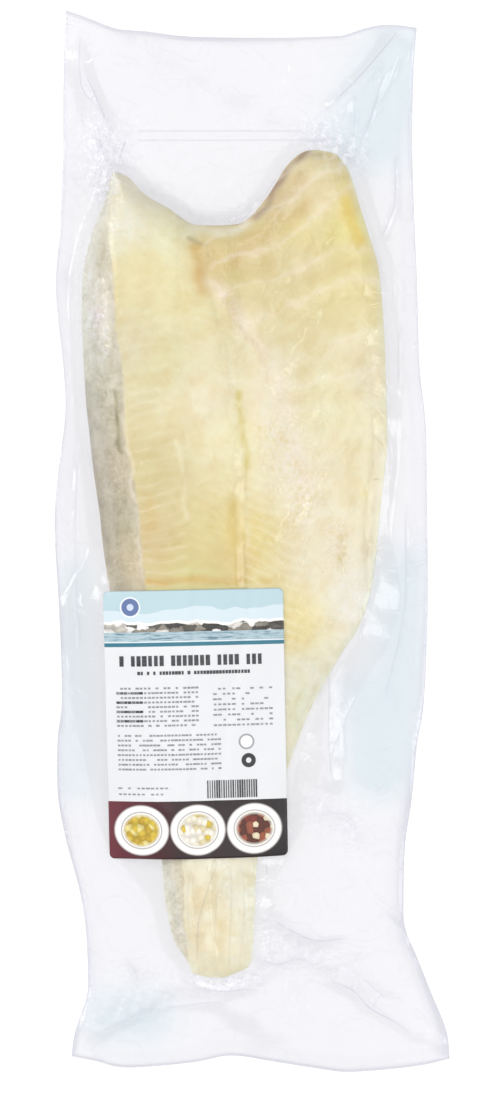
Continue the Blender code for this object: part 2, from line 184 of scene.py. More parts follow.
class Line:
    """A smooth plan curve through its control points, read by its share of arc length."""

    def __init__(self, points, steps=8):
        p = np.array(points, float)
        if len(p) > 2 and steps > 1:
            padded = np.vstack([2 * p[0] - p[1], p, 2 * p[-1] - p[-2]])
            t = np.linspace(0, 1, steps, endpoint=False)[:, None]
            p = np.vstack([self.span(*padded[i : i + 4], t) for i in range(len(p) - 1)] + [p[-1:]])
        self.points = p
        self.run = np.concatenate([[0], np.cumsum(np.linalg.norm(np.diff(p, axis=0), axis=1))])
        self.share = self.run / self.run[-1]

    @staticmethod
    def span(a, b, c, d, t):
        """One Catmull-Rom span, from b to c."""
        bend, twist = 2 * a - 5 * b + 4 * c - d, 3 * b - a - 3 * c + d
        return 0.5 * (2 * b + (c - a) * t + bend * t**2 + twist * t**3)

    def at(self, share):
        return np.stack([np.interp(share, self.share, self.points[:, k]) for k in (0, 1)], axis=-1)

    def part(self, start, end):
        inner = (self.share > start) & (self.share < end)
        return Line(np.vstack([self.at(start), self.points[inner], self.at(end)]), steps=1)


def coons(tail, head, left, right, u, v):
    """Points of the patch between four lines, for u from left to right and v from tail to head."""
    across, along = u[..., None], v[..., None]
    corners = mix(mix(tail.at(0.0), tail.at(1.0), across), mix(head.at(0.0), head.at(1.0), across), along)
    return mix(tail.at(u), head.at(u), along) + mix(left.at(v), right.at(v), across) - corners


def ring(tail, right, head, left):
    return np.vstack([tail.points[:-1], right.points[:-1], head.points[:0:-1], left.points[:0:-1]])


def signed_distance(points, outline):
    """Distance to a closed outline, positive inside it."""
    nearest = np.full(len(points), np.inf)
    inside = np.zeros(len(points), bool)
    px, py = points[:, 0], points[:, 1]
    for (ax, ay), (bx, by) in zip(outline, np.roll(outline, -1, axis=0)):
        dx, dy = bx - ax, by - ay
        share = np.clip(((px - ax) * dx + (py - ay) * dy) / max(dx * dx + dy * dy, 1e-12), 0, 1)
        nearest = np.minimum(nearest, (px - ax - share * dx) ** 2 + (py - ay - share * dy) ** 2)
        crosses = (ay > py) != (by > py)
        inside ^= crosses & (px < ax + (py - ay) * dx / (dy if dy else 1e-12))
    return np.where(inside, 1, -1) * np.sqrt(nearest)


def stretches(points, path):
    """Each straight stretch of a path: its start, its run, and points' share along it and distance to it."""
    for a, b in zip(path[:-1], path[1:]):
        along = b - a
        share = np.clip(((points - a) @ along) / (along @ along), 0, 1)
        yield a, along, share, np.linalg.norm(points - a - share[:, None] * along, axis=1)


def path_distance(points, path):
    return np.min([far for *_, far in stretches(points, metres(path))], axis=0)


def strokes(points, drawn, sharp=False):
    """Sum of strokes, each a path, a height and a half width: rounded, or sharp along its middle."""
    total = np.zeros(len(points))
    for path, height, half_width in drawn:
        gap = path_distance(points, path) / (half_width * MM)
        total += height * (np.exp(0.25 - np.sqrt(gap**2 + 0.0625)) if sharp else bell(gap))
    return total


def ripple(points, size, seed, waves=11):
    """A smooth field from -1 to 1 or so, without direction, whose swells are about this size."""
    rng = np.random.default_rng(seed)
    total = np.zeros(len(points))
    drawn = [rng.uniform(low, high, waves) for low, high in ((0, 2 * math.pi), (0.6, 1.5), (0, 6.28))]
    for turn, stretch, phase in zip(*drawn):
        k = math.pi / (size * stretch)
        total += np.sin(k * (points[:, 0] * math.cos(turn) + points[:, 1] * math.sin(turn)) + phase)
    return total / math.sqrt(waves) / 1.2


def pucker(points, size, seed):
    """Sharp little ridges that cross each other, from 0 to 1, like film that has been gathered."""
    bend = np.stack([ripple(points, size * 3, seed + step) for step in (1, 2)], axis=1) * size * 0.5
    return np.clip(1 - 1.7 * np.abs(ripple(points + bend, size, seed)), 0, 1) ** 1.6


pouch_left, pouch_right, pouch_tail, pouch_head = map(Line, (POUCH_LEFT, POUCH_RIGHT, POUCH_TAIL, POUCH_HEAD))
fish_left, fish_right, fish_tail, fish_notch = map(Line, (FISH_LEFT, FISH_RIGHT, FISH_TAIL, FISH_NOTCH))
fish_outline = ring(fish_tail, fish_right, fish_notch, fish_left)
pouch_outline = ring(pouch_tail, pouch_right, pouch_head, pouch_left)


# The side of fish: its lines, its thickness and its flakes

def at_height(line, y):
    """Where a line that runs from tail to head is, across the side, at these heights."""
    return np.interp(y, line[:, 1], line[:, 0])


def beside(line, points):
    """How far points lie to the right of such a line."""
    return points[:, 0] - at_height(line, points[:, 1])


def fish_place(points):
    """Where points lie on the side: across from back (0) to belly (1), along from tail (0) to head (1)."""
    left, right = beside(fish_left.points, points), beside(fish_right.points, points)
    low, high = FISH_TAIL[1][1], FISH_RIGHT[-1][1]
    return np.clip(left / (left - right), 0, 1), np.clip((points[:, 1] - low) / (high - low), 0, 1)


def flesh_thickness(across, along):
    loin = np.interp(along, LOIN_ALONG, LOIN_THICK)
    belly = loin * np.interp(along, LOIN_ALONG, BELLY_SHARE)
    thick = mix(loin, belly, smoothstep((across - LOIN_CREST) / (1 - LOIN_CREST)))
    ends = smoothstep(along / 0.1) * smoothstep((1 - along) / 0.12)
    furrow = BONE_FURROW * bell((across - BONE_LINE) / BONE_HALF_WIDTH)
    return thick + ends * (LOIN_STEP * smoothstep((LOIN_STEP_AT - across) / 0.03) - furrow)


def flakes(points):
    """Count of flakes from the tail, whole at the white sheets between them, and how far they show."""
    x, y = points[:, 0], points[:, 1]
    skin, ridge, furrow, seam = (at_height(line, y) for line in (SKIN_EDGE, RIDGE, FURROW, SEAM))
    on_flap = x > seam
    past_seam = np.clip(x - seam, 0, None)
    flap_slope = np.interp(y, [-0.08, -0.01, 0.05, 0.11, 0.16, 0.20], [-0.30, -0.02, 0.16, 0.27, 0.40, 0.68])
    rise = 0.22 * (np.clip(x, skin, ridge) - skin)
    rise -= 0.40 * np.clip(x - ridge, 0, np.maximum(furrow - ridge, 0))
    rise -= 0.42 * np.clip(x - furrow, 0, np.maximum(seam - furrow, 0))
    rise += flap_slope * past_seam - 1.4 * past_seam**2
    warp = 0.0016 * ripple(points, 0.024, 5) + 0.0004 * ripple(points, 0.006, 6)
    count = (y - rise + warp) / np.where(on_flap, FLAP_PITCH, FLAKE_PITCH) + 100
    at_back = np.interp(y, [-0.03, 0.0, 0.09, 0.14, 0.17], [0.45, 0.6, 0.5, 0.2, 0.1])
    past_furrow = np.interp(y, [0.02, 0.05], [0.75, 0.25])
    in_loin = np.where(x < ridge, at_back, np.where(x < furrow, 0.15, past_furrow))
    in_loin *= np.interp(y, [-0.20, -0.15], [0.45, 1.0])
    in_flap = np.interp(y, [-0.06, -0.01, 0.04, 0.09, 0.14], [0.55, 0.45, 0.40, 0.75, 1.15])
    shown = np.where(on_flap, in_flap, in_loin) * np.clip(0.75 + 0.5 * ripple(points, 0.020, 7), 0.15, 1.2)
    shown *= smoothstep(np.abs(x - seam) / 0.004)
    shown *= np.where((x > furrow) & ~on_flap, smoothstep((seam - x) / 0.022), 1)
    return count, shown * (1 - skin_cover(points))


def skin_cover(points):
    """1 where the silvery skin shows, 0 on the flesh."""
    wander = 0.0007 * ripple(points, 0.011, 21) + 0.0004 * ripple(points, 0.004, 22)
    return smoothstep((wander - beside(SKIN_EDGE, points)) / 0.0014 + 0.5)


def flesh_relief(points, inward):
    """The flakes' overlaps, the seams, and the cod's own unevenness."""
    count, shown = flakes(points)
    part = count - np.floor(count)
    shingle = (part - 0.5) * smoothstep(part / 0.25) * 0.9 - 0.55 * bell(np.minimum(part, 1 - part) / 0.10)
    seam = SEAM_RISE * bell(beside(SEAM, points) / 0.0045)
    furrow = FURROW_DIP * bell(beside(FURROW, points) / 0.0024)
    relief = FLAKE_RISE * shingle * shown + (seam - furrow) * (1 - skin_cover(points))
    relief -= SKIN_STEP * bell(beside(SKIN_EDGE, points) / 0.0022)
    relief += 0.00055 * ripple(points, 0.016, 8) + 0.00016 * ripple(points, 0.0045, 9)
    return relief * smoothstep((inward - 0.002) / 0.008)


# The pouch's films

# Broad creases of the margin, then its sharp folds: each a path, a height and a half width.
BROAD_CREASES = [
    ([(45, -236), (106, -279)], 2.6, 6),
    ([(4, -208), (55, -230)], 1.8, 5.5),
    ([(83, 275), (46, 225)], 2.4, 7),
    ([(-98, 270), (-80, 215)], 2.2, 6),
    ([(43, -74), (44, -134)], 2.2, 5.5),
    ([(-88, -274), (-50, -250)], 1.6, 6),
]
FOLDS = [
    ([(83, 286.5), (62, 262), (43.5, 244)], 1.6, 2.2),
    ([(74, 262), (66, 236), (60, 222)], 1, 1.6),
    ([(-93.5, 262), (-86, 246), (-79.5, 230)], 1.4, 2.2),
    ([(80, 220), (80, 191), (76, 178), (71.5, 168)], 1, 1.6),
    ([(42.8, -70), (43.2, -90), (42.8, -110), (44.5, -134)], 0.8, 2.6),
    ([(49.5, -104), (48, -122)], 0.6, 2),
    ([(58.1, 245.6), (56.5, 228.2)], 0.7, 2),
    ([(-96.3, 282.5), (-95.5, 255.2), (-87.5, 244), (-80, 233)], 0.9, 2.6),
    ([(82.1, 120), (82.1, 85)], 0.6, 2.4),
    ([(37, -151.5), (55, -155), (59.5, -170)], 0.9, 1.8),
    ([(10, -210.5), (20, -217), (35, -223.5), (54.5, -222.5)], 1.3, 2),
    ([(2, -231.5), (13, -237), (25.5, -234), (36.5, -237)], 1.1, 1.8),
    ([(43.5, -246), (56.5, -251.5), (67, -262), (81.5, -269.5), (90.5, -276.5)], 1.6, 2),
    ([(60, -242.5), (67, -249), (77, -257)], 1.2, 1.8),
    ([(74.5, -206.5), (88.5, -223)], 1.2, 2),
    ([(-68, -234.5), (-62.5, -248.5)], 1.2, 2.2),
    ([(-85, -273.5), (-71, -268), (-57, -259.5)], 1.2, 2.4),
    ([(-52, -262), (-20, -258)], 0.7, 2),
    ([(-29, -250), (-14, -252), (-1, -249.5)], 1.6, 2.6),
    ([(-86, 230), (-83, 216), (-80, 208)], 1.6, 1.8),
    ([(-70, 228), (-74, 215), (-76, 208)], 1.4, 1.6),
    ([(1, 186), (11, 199), (16, 209)], 0.8, 1.2),
    ([(-98, 50), (-99, -10), (-96, -60)], 0.6, 3),
    ([(86, 20), (85, -40), (74, -90)], 0.7, 3.4),
]
# Pleats of the film over the tail, and a few over the flesh, too fine to lift it: each a path and a strength.
PLEATS = [
    ([(-20, -180), (-25.5, -196), (-30, -214), (-30.5, -236)], 0.9),
    ([(-12, -178), (-11.8, -205), (-13, -240)], 0.7),
    ([(-33, -178), (-36, -200), (-34.5, -226)], 0.6),
    ([(-18, -182), (-20, -206), (-21.5, -240)], 0.45),
    ([(-5, -180), (-4.5, -210), (-7.5, -238)], 0.5),
    ([(-77, 199), (-76.5, 180), (-74.5, 150)], 0.5),
    ([(-86, 156), (-83, 140), (-84.5, 125)], 0.5),
    ([(6, 186), (15, 185), (23, 190)], 0.5),
    ([(10, -156), (8, -170), (8.5, -190)], 0.5),
]
# Gathered film: a path, a strength and a half width, as in the lists after it.
GATHERS = [
    ([(-84, 226), (-80, 200)], 1, 11),
    ([(37, 226), (54, 216)], 0.9, 10),
    ([(-8, 180), (2, 186)], 0.6, 6),
    ([(-30, -247), (2, -246)], 0.55, 6),
    ([(10, -222), (50, -240)], 0.45, 12),
    ([(40, -150), (60, -166)], 0.45, 10),
    ([(-86, 120), (-82, 105)], 0.6, 8),
    ([(-55, -255), (-75, -262)], 0.35, 14),
    ([(-91, 165), (-89, 120)], 0.4, 6),
    ([(-55, 198), (-30, 180), (-10, 180)], 0.12, 4),
]
# Fine crackle in the film where it lies on the flesh.
CRACKLES = [
    ([(10, 56), (20, 42)], 1, 11),
    ([(43, 4), (53, -24)], 0.9, 8),
    ([(-83, 139), (-76, 118)], 0.9, 7),
    ([(-12, 112), (4, 92)], 0.5, 9),
    ([(-60, 175), (-30, 165)], 0.35, 10),
    ([(-77.5, 190), (-79, 150)], 0.8, 6),
    ([(18, 80), (28, 40)], 0.6, 8),
    ([(-80, 95), (-76, 20)], 0.35, 7),
]
# Zones where the film lies doubled and curled up, tinted bluish as a painted reflection.
BLUE_ZONES = [
    ([(82, 275), (60, 228)], 1, 19),
    ([(82, 245), (74, 225)], 0.7, 16),
    ([(-80, -266), (-58, -266)], 1, 14),
    ([(-99, -20), (-99, -135)], 0.6, 12),
    ([(86, -20), (80, -125)], 1, 17),
    ([(60, -85), (66, -130)], 0.7, 13),
]
# Painted highlight: milky white film on the pucker round the tail's end.
TAIL_PUCKER_HIGHLIGHT = [([(-30, -247), (-19, -250.5), (-7, -247.5)], 1, 2)]
# Webs of connective tissue in the flesh.
WEBS = [
    ([(10, 64), (24, 40), (29, 15)], 0.9, 11),
    ([(48, 8), (50, -16)], 0.7, 7),
    ([(-18, 140), (-4, 118), (8, 98)], 0.45, 4.5),
    ([(-24, 158), (-6, 160), (14, 176), (28, 204)], 0.18, 7),
]


def turned(points, angle):
    c, s = math.cos(angle), math.sin(angle)
    return points @ np.array([[c, s], [-s, c]])


def label_place(points):
    """Points in the label's own axes: across and up it, from its centre."""
    return turned(points - LABEL_CENTRE, -LABEL_TURN)


def under_label(points):
    """1 under the label, fading to 0 just beside it."""
    past = np.abs(label_place(points)) - LABEL_SIZE / 2
    return 1 - smoothstep(past.max(axis=1) / 0.006)


def margin_lift(points, outside):
    """Height of the lower film over the table, beside the fish and out to the pouch's edge."""
    x, y = points[:, 0], points[:, 1]
    wave = 0.5 + 0.5 * np.sin(2 * math.pi * (y + 0.35 * x) / WAVE_LENGTH + 1.9 * np.tanh(x / 0.03))
    lift = SEAM_LIFT * np.exp(-outside / SEAM_FALL) + WAVE_LIFT * wave * smoothstep(outside / WAVE_REACH)
    for corner, height in CORNER_CURL:
        lift += height * MM * bell(np.linalg.norm(points - metres(corner), axis=1) / CORNER_REACH)
    return lift + MM * strokes(points, BROAD_CREASES) * smoothstep(outside / 0.004)


class Surfaces:
    """Heights of the films and of the side of fish over plan points."""

    def __init__(self, points):
        self.points = points
        self.inward = signed_distance(points, fish_outline)
        self.across, self.along = fish_place(points)
        self.outside = np.clip(-self.inward, 0, None)
        self.lift = margin_lift(points, self.outside)
        self.tight = self.drawn_over(FILM_TENT)
        self.flesh = self.tight - FILM_OVER_FLESH + flesh_relief(points, self.inward)

    def drawn_over(self, tent):
        """Height of a smooth film that leaves the fish this far outside its outline."""
        flank = mix(FLANK_ROUND, BELLY_ROUND, smoothstep((self.across - 0.2) / 0.5))
        edge = mix(flank, NOTCH_ROUND, smoothstep((self.along - 0.86) / 0.08))
        rise = np.clip((self.inward + tent) / (edge + tent), 0, 1)
        crown = 1 - (1 - rise**FILM_FOOT_POWER) ** FILM_CROWN_POWER
        return mix(self.lift, flesh_thickness(self.across, self.along), crown) + FILM_PAIR

    def under_label_film(self):
        """The film where the label holds it away from the side's edges."""
        past = np.abs(label_place(self.points)[:, 1]) - LABEL_SIZE[1] / 2
        beside_it = 1 - smoothstep((past + LABEL_FADE / 3) / LABEL_FADE)
        return self.drawn_over(mix(FILM_TENT, mix(*LABEL_TENT, smoothstep(self.across)), beside_it))

    def wrinkles(self):
        """Folds, gathers and slack of the margin, which both films share."""
        p = self.points
        slack = 0.0007 * (1 + ripple(p, 0.030, 31)) + 0.00025 * (1 + ripple(p, 0.011, 32))
        gathered = strokes(p, GATHERS) * (0.0013 * pucker(p, 0.0062, 33) + 0.0007 * pucker(p, 0.0032, 37))
        folds = MM * strokes(p, FOLDS, sharp=True)
        return (slack + gathered + folds) * smoothstep((self.outside + 0.001) / 0.006)

    def upper_film(self):
        p = self.points
        draw = 0.0007 * strokes(p, GATHERS) * pucker(p, 0.0058, 41)
        radial = 0.00030 * pucker(p * np.array([1.0, 0.45]), 0.0045, 43) * bell(self.inward / 0.006)
        crackle = 0.00016 * strokes(p, CRACKLES) * pucker(p, 0.0040, 47)
        lying = 0.00010 * (1 + ripple(p, 0.006, 45)) * smoothstep(self.inward / 0.004)
        relief = (self.wrinkles() + draw + radial + crackle + lying) * (1 - 0.96 * under_label(p))
        over_flesh = np.where(self.inward > -0.001, self.flesh + FILM_OVER_FLESH, -1.0)
        return np.maximum(self.under_label_film(), over_flesh) + relief

    def lower_film(self):
        rest = self.lift + 0.85 * self.wrinkles()
        return 0.00015 + rest * smoothstep(1 - self.inward / UNDERSIDE_ROUND)

    def flesh_underside(self):
        """The rim turns in under the fish, which lies flat on the lower film."""
        rim = mix(self.tight, self.lift, 0.4)
        flat = 0.0006 + self.lift * smoothstep(1 - self.inward / UNDERSIDE_ROUND)
        return mix(flat, rim, np.clip(1 - self.inward / 0.009, 0, 1) ** 2.2)


# Meshes

def gathered_shares(cells):
    t = np.linspace(0, 1, cells + 1)
    return t + 0.6 * (smoothstep(t) - t)


def nearest_crease(points):
    """Offset from the nearest fold or pleat of the film, signed and plain, and how sharp that one is."""
    nearest = np.full(len(points), 0.05)
    offset, sharp = nearest.copy(), np.zeros(len(points))
    for path, strength in [(path, min(1.0, height / 1.4)) for path, height, _ in FOLDS] + PLEATS:
        line = Line(metres(path), steps=6)
        for i, (a, along, share, far) in enumerate(stretches(points, line.points)):
            side = np.sign(along[0] * (points[:, 1] - a[1]) - along[1] * (points[:, 0] - a[0]))
            place = mix(line.run[i], line.run[i + 1], share)
            fade = smoothstep(np.minimum(place, line.run[-1] - place) / 0.007)
            closer = far < nearest
            nearest = np.where(closer, far, nearest)
            offset = np.where(closer, far * side, offset)
            sharp = np.where(closer, strength * fade, sharp)
    return offset, nearest, sharp * (1 - under_label(points))


def pouch_grid(columns, rows):
    """Plan points of the pouch, whose lines follow the fish's outline, by row and column."""
    (l0, l1), (r0, r1), (t0, t1), (h0, h1) = SPLIT_LEFT, SPLIT_RIGHT, SPLIT_TAIL, SPLIT_HEAD

    def in_three(line, start, end):
        return [line.part(0, start), line.part(start, end), line.part(end, 1)]

    def spoke(line, share, fish_line, end):
        return Line([line.at(share), fish_line.at(end)])

    rows_of_lines = [
        in_three(pouch_tail, t0, t1),
        [spoke(pouch_left, l0, fish_left, 0.0), fish_tail, spoke(fish_right, 0.0, pouch_right, r0)],
        [spoke(pouch_left, l1, fish_left, 1.0), fish_notch, spoke(fish_right, 1.0, pouch_right, r1)],
        in_three(pouch_head, h0, h1),
    ]
    columns_of_lines = [
        in_three(pouch_left, l0, l1),
        [spoke(pouch_tail, t0, fish_left, 0.0), fish_left, spoke(fish_left, 1.0, pouch_head, h0)],
        [spoke(pouch_tail, t1, fish_right, 0.0), fish_right, spoke(fish_right, 1.0, pouch_head, h1)],
        in_three(pouch_right, r0, r1),
    ]

    def shares(cells):
        """Finer towards the fish, and gathered at its ends."""
        low, high = np.linspace(1, 0, cells[0] + 1), np.linspace(0, 1, cells[2] + 1)
        return [1 - low**1.4, gathered_shares(cells[1]), high**1.4]

    u_shares, v_shares = shares(columns), shares(rows)
    grid = np.zeros((sum(rows) + 1, sum(columns) + 1, 2))
    for j in range(3):
        for i in range(3):
            v, u = np.meshgrid(v_shares[j], u_shares[i], indexing="ij")
            low, high = rows_of_lines[j][i], rows_of_lines[j + 1][i]
            left, right = columns_of_lines[i][j], columns_of_lines[i + 1][j]
            patch = coons(low, high, left, right, u, v)
            row, column = sum(rows[:j]), sum(columns[:i])
            grid[row : row + rows[j] + 1, column : column + columns[i] + 1] = patch
    return grid


def fish_grid(columns, rows):
    v, u = np.meshgrid(gathered_shares(rows), gathered_shares(columns), indexing="ij")
    return coons(fish_tail, fish_notch, fish_left, fish_right, u, v)


def label_grid(columns, rows):
    """The label's own points, with its corners rounded."""
    v, u = np.meshgrid(np.linspace(-0.5, 0.5, rows + 1), np.linspace(-0.5, 0.5, columns + 1), indexing="ij")
    place = np.stack([u, v], axis=-1) * LABEL_SIZE
    inner = LABEL_SIZE / 2 - LABEL_CORNER
    past = np.clip(np.abs(place) - inner, 0, None)
    length = np.linalg.norm(past, axis=-1)
    pull = np.where(length > 0, past.max(axis=-1) / np.maximum(length, 1e-12), 1.0)
    return np.sign(place) * (np.minimum(np.abs(place), inner) + past * pull[..., None])


def label_height(points):
    ripples = 0.00022 * (1 + ripple(points, 0.021, 71)) + 0.00008 * (1 + ripple(points, 0.008, 72))
    return Surfaces(points).under_label_film() + LABEL_CLEAR + ripples + MM * strokes(points, LABEL_BUCKLES)


def grid_faces(index):
    """Quads of a grid of vertices, facing up where its columns run to +X and its rows to +Y."""
    quads = np.stack([index[:-1, :-1], index[:-1, 1:], index[1:, 1:], index[1:, :-1]], axis=-1)
    return quads.reshape(-1, 4).tolist()


def rim_of(index):
    return np.concatenate([index[0, :-1], index[:-1, -1], index[-1, :0:-1], index[:0:-1, 0]])


def new_piece(name, data):
    piece = bpy.data.objects.new(name, data)
    bpy.context.scene.collection.objects.link(piece)
    return piece


def pillow(name, upper, lower, material):
    """A closed mesh from an upper grid and a lower one with half its cells, joined round the rim."""
    top = np.arange(upper.shape[0] * upper.shape[1]).reshape(upper.shape[:2])
    under = top.size + np.arange(lower.shape[0] * lower.shape[1]).reshape(lower.shape[:2])
    faces = grid_faces(top) + grid_faces(under[:, ::-1])
    high, low = rim_of(top), rim_of(under)
    for i, a in enumerate(low):
        b, c, d, e = low[(i + 1) % len(low)], high[2 * i], high[2 * i + 1], high[(2 * i + 2) % len(high)]
        faces += [(a, b, d), (a, d, c), (b, e, d)]
    mesh = bpy.data.meshes.new(name)
    mesh.from_pydata(np.vstack([upper.reshape(-1, 3), lower.reshape(-1, 3)]).tolist(), [], faces)
    mesh.shade_smooth()
    mesh.materials.append(material)
    return new_piece(name, mesh)


def lifted(grid, heights):
    return np.concatenate([grid, heights.reshape(grid.shape[:2])[..., None]], axis=-1)


def paint(piece, **layers):
    """Stores a number, or a colour, for each vertex."""
    for name, values in layers.items():
        values = np.asarray(values, np.float32)
        kind, field = ("FLOAT", "value") if values.ndim == 1 else ("FLOAT_COLOR", "color")
        piece.data.attributes.new(name, kind, "POINT").data.foreach_set(field, values.ravel())


# Materials

def linear(hex_colour):
    """A linear colour from an sRGB hex value."""
    parts = [int(hex_colour[i : i + 2], 16) / 255 for i in (0, 2, 4)]
    return (*[c / 12.92 if c <= 0.04045 else ((c + 0.055) / 1.055) ** 2.4 for c in parts], 1.0)


def add_node(tree, kind, *given, stops=None, **settings):
    """Adds a node with its settings, and sets or links its inputs, in order or by name from a dictionary.

    There a node stands for its first output, and a text for a colour. Kinds are shader nodes by default.
    """
    family = "" if kind.startswith(("Geometry", "Function", "NodeGroup")) else "ShaderNode"
    node = tree.nodes.new(family + kind)
    for name, value in settings.items():
        setattr(node, name, value)
    if stops:
        while len(node.color_ramp.elements) < len(stops):
            node.color_ramp.elements.new(0.5)
        for element, (place, colour) in zip(node.color_ramp.elements, stops):
            element.position = place
            element.color = linear(colour)
    sockets = [socket for socket in node.inputs if socket.enabled]
    named = given[-1] if given and isinstance(given[-1], dict) else {}
    pairs = list(zip(sockets, given[: len(given) - bool(named)]))
    pairs += [(next(s for s in sockets if s.name == name), value) for name, value in named.items()]
    for socket, value in pairs:
        if isinstance(value, bpy.types.Node):
            value = next(s for s in value.outputs if s.enabled)
        if isinstance(value, bpy.types.NodeSocket):
            tree.links.new(value, socket)
        else:
            socket.default_value = linear(value) if isinstance(value, str) else value
    return node


def new_material(name):
    """An empty material, and add_node for its tree."""
    material = bpy.data.materials.new(name)
    material.use_nodes = True
    material.node_tree.nodes.clear()
    return material, partial(add_node, material.node_tree)


def veins(add, noise, half_width, height):
    """Thin lines where a noise passes its middle."""
    off = add("Math", noise, 0.5, operation="SUBTRACT")
    off = add("Math", off, operation="ABSOLUTE")
    return add("MapRange", off, 0.0, half_width, height, 0.0, interpolation_type="SMOOTHSTEP")


def between(add, value, low, high):
    """1 where a number lies between two others."""
    above = add("Math", value, low, operation="GREATER_THAN")
    below = add("Math", value, high, operation="LESS_THAN")
    return add("Math", above, below, operation="MULTIPLY")


def oval(add, place, centre, radii, soft=0.04):
    """1 inside an oval on the label, in millimetres from its lower left corner."""
    (x, y), (wide, high) = centre, radii
    scaled = add("Mapping", {
        "Vector": place, "Location": (-x / wide, -y / high, 0.0), "Scale": (1 / wide, 1 / high, 0.0)})
    out = add("VectorMath", scaled, operation="LENGTH").outputs["Value"]
    return add("MapRange", out, 1 - soft, 1 + soft, 1.0, 0.0)


def film_material():
    """Vacuum film: nylon and polyethylene in thin sheets, cast clear and glossy, with a lavender cast.

    A tenth of it is milky, and in places more milkiness is painted highlight and painted light. It mirrors
    more of the studio the more it tilts, and its cut edges look greyer because more of it lies in the way;
    painted shade darkens its folds and crinkles, and a painted bluish reflection tints it where it curls up.
    It is a thin sheet, so light passes straight through.
    """
    material, add = new_material("cast_nylon_film")
    place = add("TexCoord").outputs["Object"]
    blue, dense, gathered, haze_and_light_share, offset, gap, sharp = (
        add("Attribute", attribute_name=name).outputs["Fac"]
        for name in ("blue_zone", "dense", "gathered", "haze", "crease_offset", "crease_gap", "crease_sharp")
    )
    # Crackle: creases of two to three millimetres, sharp where the film is gathered and faint elsewhere.
    crackle = add("TexNoise", {"Vector": place, "Scale": 300.0, "Detail": 2.5, "Roughness": 0.55})
    depth = add("Math", gathered, 0.94, 0.06, operation="MULTIPLY_ADD")
    crackle = add("Math", veins(add, crackle, 0.12, 1.0), depth, operation="MULTIPLY")
    # Handling creases: thin lines a centimetre or two apart.
    lines = add("TexNoise", {
        "Vector": place, "Scale": 55.0, "Detail": 1.5, "Roughness": 0.6, "Distortion": 0.6})
    crease = add("Math", crackle, veins(add, lines, 0.018, 0.22), operation="ADD")
    # Folds and pleats: a ridge of two millimetres in the bump, round a line half a millimetre wide of painted
    # shade.
    offset = add("Math", offset, operation="ABSOLUTE")
    gap = add("Math", gap, 0.0015, operation="SUBTRACT")
    offset = add("Math", offset, gap, operation="MAXIMUM")
    ridge = add("MapRange", offset, 0.0, 0.0022, 1.0, 0.0)
    ridge = add("Math", ridge, sharp, operation="MULTIPLY")
    crease = add("Math", ridge, 0.8, crease, operation="MULTIPLY_ADD")
    # Painted shade: a dark line along each fold and pleat.
    fold = add("MapRange", offset, 0.0001, 0.0007, 0.85, 0.0)
    fold = add("Math", fold, sharp, operation="MULTIPLY")
    dense = add("Math", dense, fold, operation="MAXIMUM")
    # Faint double line of a heat seal, pressed across the head end.
    parts = add("SeparateXYZ", place).outputs
    for height, start, end in SEAL_LINES:
        gap = add("Math", parts["Y"], height, operation="SUBTRACT")
        gap = add("Math", gap, operation="ABSOLUTE")
        line = add("MapRange", gap, 0.0002, 0.0009, 0.40, 0.0)
        line = add("Math", line, between(add, parts["X"], start, end), operation="MULTIPLY")
        dense = add("Math", dense, line, operation="MAXIMUM")
    bump = add("Bump", {"Strength": 0.7, "Distance": 0.0007, "Height": crease})
    tilt = add("LayerWeight", {"Blend": 0.5, "Normal": bump}).outputs["Facing"]
    thick = add("Math", tilt, 3.0, operation="POWER")
    thick = add("Math", thick, dense, operation="MAXIMUM", use_clamp=True)
    cast = "F5F5F6"
    # Painted reflection: a bluish tint where the film curls up.
    for share, tint in ((blue, "ECF1F3"), (thick, "E6E6EC")):
        cast = add("Mix", share, cast, tint, data_type="RGBA")
    through = add("BsdfTransparent", cast)
    # Milky part, which in places carries painted highlights and painted light.
    haze = add("BsdfDiffuse", "F6F5FA")
    through = add("MixShader", haze_and_light_share, through, haze)
    gloss = add("BsdfGlossy", {"Color": "FFFFFF", "Roughness": 0.13, "Normal": bump})
    # A sheet of this plastic, index 1.5, mirrors about 5% seen square on, and much more on edge.
    mirror = add("Math", tilt, 5.0, operation="POWER")
    mirror = add("Math", mirror, 0.55, 0.045, operation="MULTIPLY_ADD", use_clamp=True)
    add("OutputMaterial", add("MixShader", mirror, through, gloss))
    return material


